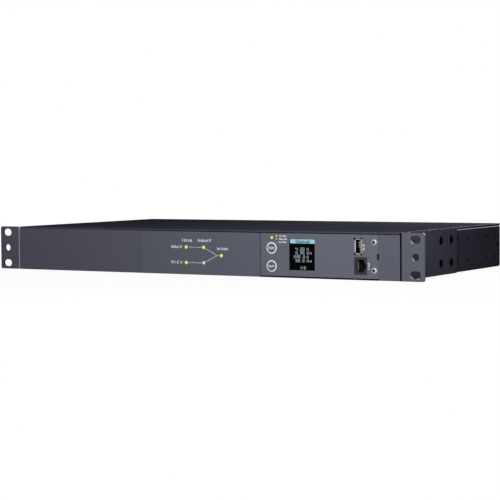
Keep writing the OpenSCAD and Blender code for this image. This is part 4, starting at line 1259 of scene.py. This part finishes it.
class SWITCH_OT_fasteners(bpy.types.Operator):
    """Turn and set the screws, their recesses at all angles"""
    bl_idname = "switch.fasteners"
    bl_label = "Fasteners"

    # Each head and shank as radius and height in millimetres, from the top of the head to the tip
    flat = ((0, 0), (3.82, 0), (4.0, -0.12), (1.7, -1.7), (1.6, -1.9), (1.6, -6.6),
            (1.2, -6.9), (0, -6.9))
    low_flat = ((0, 0), (2.65, 0), (2.74, -0.06), (1.25, -0.9), (1.2, -1.1), (1.2, -4.2),
                (0.9, -4.5), (0, -4.5))
    pan = ((0, 0), (0.9, -0.06), (1.7, -0.28), (2.25, -0.7), (2.55, -1.2), (2.6, -1.6), (2.6, -1.8),
           (1.2, -1.8), (1.2, -6.4), (0.9, -6.8), (0, -6.8))
    wide_pan = ((0, 0), (1.1, -0.04), (1.55, -0.11), (2.05, -0.23), (2.6, -0.6), (2.86, -1.05),
                (2.9, -1.4), (2.9, -1.6), (1.2, -1.6), (1.2, -8.2), (0.9, -8.6), (0, -8.6))

    def execute(self, context):
        ear = self.screw(self.flat, 4.4, 1.1)
        foot = self.screw(self.low_flat, 2.9, 0.6)
        cover = self.screw(self.pan, 3.0, 1.2)
        module = self.screw(self.wide_pan, 2.7, 0.8)
        place_screws("ear_screws", ear, None, "black_lacquer", 1)
        place_screws("cover_screws", cover, (0, 1, 0), "black_oxide", 2)
        place_screws("panel_screws", foot, (0, 0, -1), "black_oxide", 3)
        place_screws("module_screws", module, (0, -1, 0), "dull_zinc", 4)
        place_screws("board_screws", cover.copy(), (0, 0, 1), "bright_zinc", 5)
        return {"FINISHED"}

    def screw(self, profile, width, depth):
        """A screw from its profile and the width and depth of its recess in millimetres."""
        return cross_screw([(r * MM, z * MM) for r, z in profile], width * MM, depth * MM)


class SWITCH_OT_back(bpy.types.Operator):
    """Dress the sockets, the circuit breakers and the ground stud, and number the outlets"""
    bl_idname = "switch.back"
    bl_label = "Back"

    def execute(self, context):
        outlets = ["outlet_%d" % i for i in range(1, 9)]
        for node in (*outlets, "inlet_a", "inlet_b"):
            dress(node, "black_moulding", edge=0.25 * MM)
        for node in ("breaker_a", "breaker_b"):
            dress(node, "black_moulding", edge=0.15 * MM)
            dress(node + "_button", "white_moulding", edge=0.12 * MM,
                  body=node + "_button")
        dress("breaker_nuts", "nickel_nut", edge=0.2 * MM)
        for node in ("ground_nuts", "ground_stud"):
            dress(node, "turned_brass", edge=0.2 * MM)
        paint_node("inlet_pins", "nickel")
        paint_node("outlet_contacts", "gold_plate")
        paint_node("outlet_board", "solder_mask")
        self.threads()
        self.numbers(context.scene.switch_prints, outlets)
        return {"FINISHED"}

    def threads(self):
        """Thread ridges on the breakers' necks and on the ground stud."""
        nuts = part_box("breaker_nuts")[0].y
        # Each thread's radius and pitch, and the lengths that it leaves free before and behind
        for node, radius, pitch, before, behind, finish, slot in (
                ("breaker_a", 5.4, 1.0, 2.6, 0.3, "black_moulding", "black_plastic"),
                ("breaker_b", 5.4, 1.0, 2.6, 0.3, "black_moulding", "black_plastic"),
                ("ground_stud", 1.95, 0.7, 4.2, 0.4, "turned_brass", "brass")):
            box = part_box(node)
            centre = middle(box)
            start = nuts + before * MM
            end = box[1].y - behind * MM
            mesh = thread_tree().run(points_mesh([(0, 0, 0)]), Radius=(radius - 0.08 * pitch) * MM,
                                     Pitch=pitch * MM, Turns=(end - start) / (pitch * MM),
                                     Material=Finish.made[finish].material)
            backwards = Matrix.Rotation(-math.pi / 2, 4, "X")
            mesh.transform(Matrix.Translation((centre.x, start, centre.z)) @ backwards)
            add_piece(node + "_thread", mesh, None)

    def numbers(self, prints, outlets):
        """A number over each outlet, read from behind."""
        flange = 1.8 * MM
        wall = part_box("outlet_1")[1].y - flange
        marks = Slabs(wall, prints.thickness, outwards=1)
        for i, node in enumerate(outlets):
            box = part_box(node)
            draw_figure(marks, str(i + 1), middle(box).x, box[1].z + 2.4 * MM, 2.6 * MM)
        add_piece("outlet_numbers", marks.mesh(), "white_ink")


class SWITCH_OT_inside(bpy.types.Operator):
    """Finish the boards and the parts on them"""
    bl_idname = "switch.inside"
    bl_label = "Inside"

    nodes_by_finish = {
        "solder_mask": ("mimic_board", "module_board", "main_board"),
        "ribbon_sleeve": ("module_cable",),
        "turned_brass": ("board_spacers",),
        "relay_moulding": ("transfer_relays",),
        "black_moulding": ("thyristors",),
        "extruded_aluminium": ("heat_sink",),
        "varnished_steel": ("supply_transformer",),
        "shrink_sleeve": ("capacitors",),
        "terminal_moulding": ("terminal_blocks",),
        "wire_sleeve": ("power_wires",),
        "sensor_moulding": ("current_sensors",),
    }

    def execute(self, context):
        for finish, nodes in self.nodes_by_finish.items():
            for node in nodes:
                paint_node(node, finish)
        return {"FINISHED"}


class SWITCH_OT_stage(bpy.types.Operator):
    """Set the floor, the light and the camera"""
    bl_idname = "switch.stage"
    bl_label = "Stage"

    # Each lamp's place, the point that it is aimed at, and its width and height, in millimetres
    lamps = {
        "key_lamp": ((335, -540, 255), (-150, 0, 0), 300, 300),
        "side_lamp": ((340, 0, 25), (216, 30, 0), 80, 80),
        "rim_lamp": ((150, 400, 150), (205, 180, 22), 120, 120),
        "back_lamp": ((-150, 1150, 0), (0, 240, 0), 600, 36),
        "left_lamp": ((-1150, 250, 0), (-216, 120, 0), 440, 36),
    }

    def execute(self, context):
        stage = context.scene.switch_stage
        context.scene.view_settings.view_transform = "Standard"
        self.floor(stage)
        self.sky(context.scene, stage)
        powers = (stage.key, stage.side, stage.rim, stage.back, stage.back)
        for (name, lamp), watts in zip(self.lamps.items(), powers):
            self.lamp(name, *lamp, watts)
        self.camera(context.scene, stage)
        return {"FINISHED"}

    def floor(self, stage):
        """A plain floor, white to the camera and in reflections, that keeps a faint shadow."""
        half = 30.0
        low = CAD_BOX[0].z
        mesh = bpy.data.meshes.new("floor")
        mesh.from_pydata([(-half, -half, low), (half, -half, low), (half, half, low),
                          (-half, half, low)], [], [(0, 1, 2, 3)])
        floor = bpy.data.objects.new("floor", mesh)
        bpy.context.scene.collection.objects.link(floor)
        finish = Finish("floor_paper", stage.floor, 0.9, Specular_IOR_Level=0.0)
        seen = finish.seen_directly()
        fibres = finish.noise(0.4, 3.0)
        paper = (0.9, 0.9, 0.9)
        finish.set(Base_Color=finish.mix(seen, finish.shade(fibres, 0.99, 1.01), paper))
        near = finish.node("TexGradient", {"gradient_type": "SPHERICAL"},
                           {"Vector": finish.place(0.7)})
        white = finish.node("Emission", None, {"Color": (1, 1, 1, 1), "Strength": 1.0})
        share = seen * (1 - stage.shadow * Value(finish, near.outputs["Fac"]))
        finish.blend(share, white)
        mesh.materials.append(finish.material)

    def sky(self, scene, stage):
        """Soft light from all round, white to the camera and in reflections."""
        world = bpy.data.worlds.new("studio")
        scene.world = world
        world.use_nodes = True
        sky = Shading(world.node_tree)
        background = sky.tree.nodes["Background"]
        sky.plug(background.inputs["Color"], (1, 1, 1, 1))
        sky.plug(background.inputs["Strength"], stage.sky + (1 - stage.sky) * sky.seen_directly())

    def lamp(self, name, place, target, width, height, watts):
        """A soft lamp, placed and aimed in millimetres."""
        data = bpy.data.lights.new(name, "AREA")
        data.shape = "RECTANGLE"
        data.size = width * MM
        data.size_y = height * MM
        data.energy = watts
        lamp = bpy.data.objects.new(name, data)
        lamp.location = Vector(place) * MM
        aim = Vector(target) * MM - lamp.location
        lamp.rotation_euler = aim.to_track_quat("-Z", "Y").to_euler()
        lamp.visible_camera = False
        bpy.context.scene.collection.objects.link(lamp)

    def camera(self, scene, stage):
        """The camera, looking at the point of aim from its distance, heading and pitch."""
        data = bpy.data.cameras.new("camera")
        data.sensor_width = 36.0
        data.lens = stage.lens
        data.clip_start = 0.05
        data.clip_end = 200.0
        camera = bpy.data.objects.new("camera", data)
        level = math.cos(stage.pitch)
        view = Vector((-math.sin(stage.heading) * level, math.cos(stage.heading) * level,
                       -math.sin(stage.pitch)))
        turn = view.to_track_quat("-Z", "Y").to_matrix().to_4x4()
        roll = Matrix.Rotation(stage.roll, 4, "Z")
        place = Vector(stage.aim) - view * stage.distance
        camera.matrix_world = Matrix.Translation(place) @ turn @ roll
        scene.collection.objects.link(camera)
        scene.camera = camera


# ---------------------------------------------------------------- the add-on's panel and its run

SETTINGS = {
    "switch_sheet": SheetSettings,
    "switch_prints": PrintSettings,
    "switch_display": DisplaySettings,
    "switch_lamps": LampSettings,
    "switch_stage": StageSettings,
}
STEPS = (
    SWITCH_OT_finishes, SWITCH_OT_sheet_metal, SWITCH_OT_prints, SWITCH_OT_display, SWITCH_OT_lamps,
    SWITCH_OT_buttons, SWITCH_OT_ports, SWITCH_OT_fasteners, SWITCH_OT_back, SWITCH_OT_inside,
    SWITCH_OT_stage,
)


class SWITCH_PT_pieces(bpy.types.Panel):
    """The switch's settings and the steps that dress it"""
    bl_label = "Rack transfer switch"
    bl_idname = "SWITCH_PT_pieces"
    bl_space_type = "VIEW_3D"
    bl_region_type = "UI"
    bl_category = "Switch"

    def draw(self, context):
        for name, group in SETTINGS.items():
            column = self.layout.box().column()
            for setting in group.__annotations__:
                column.prop(getattr(context.scene, name), setting)
        for step in STEPS:
            self.layout.operator(step.bl_idname)


def register():
    for group in (*SETTINGS.values(), *STEPS, SWITCH_PT_pieces):
        bpy.utils.register_class(group)
    for name, group in SETTINGS.items():
        setattr(bpy.types.Scene, name, PointerProperty(type=group))


def unregister():
    for name in SETTINGS:
        delattr(bpy.types.Scene, name)
    for group in (SWITCH_PT_pieces, *reversed(STEPS), *SETTINGS.values()):
        bpy.utils.unregister_class(group)


def main():
    """Runs every step in order."""
    register()
    for step in STEPS:
        area, name = step.bl_idname.split(".")
        getattr(getattr(bpy.ops, area), name)()


if __name__ == "__main__":
    main()
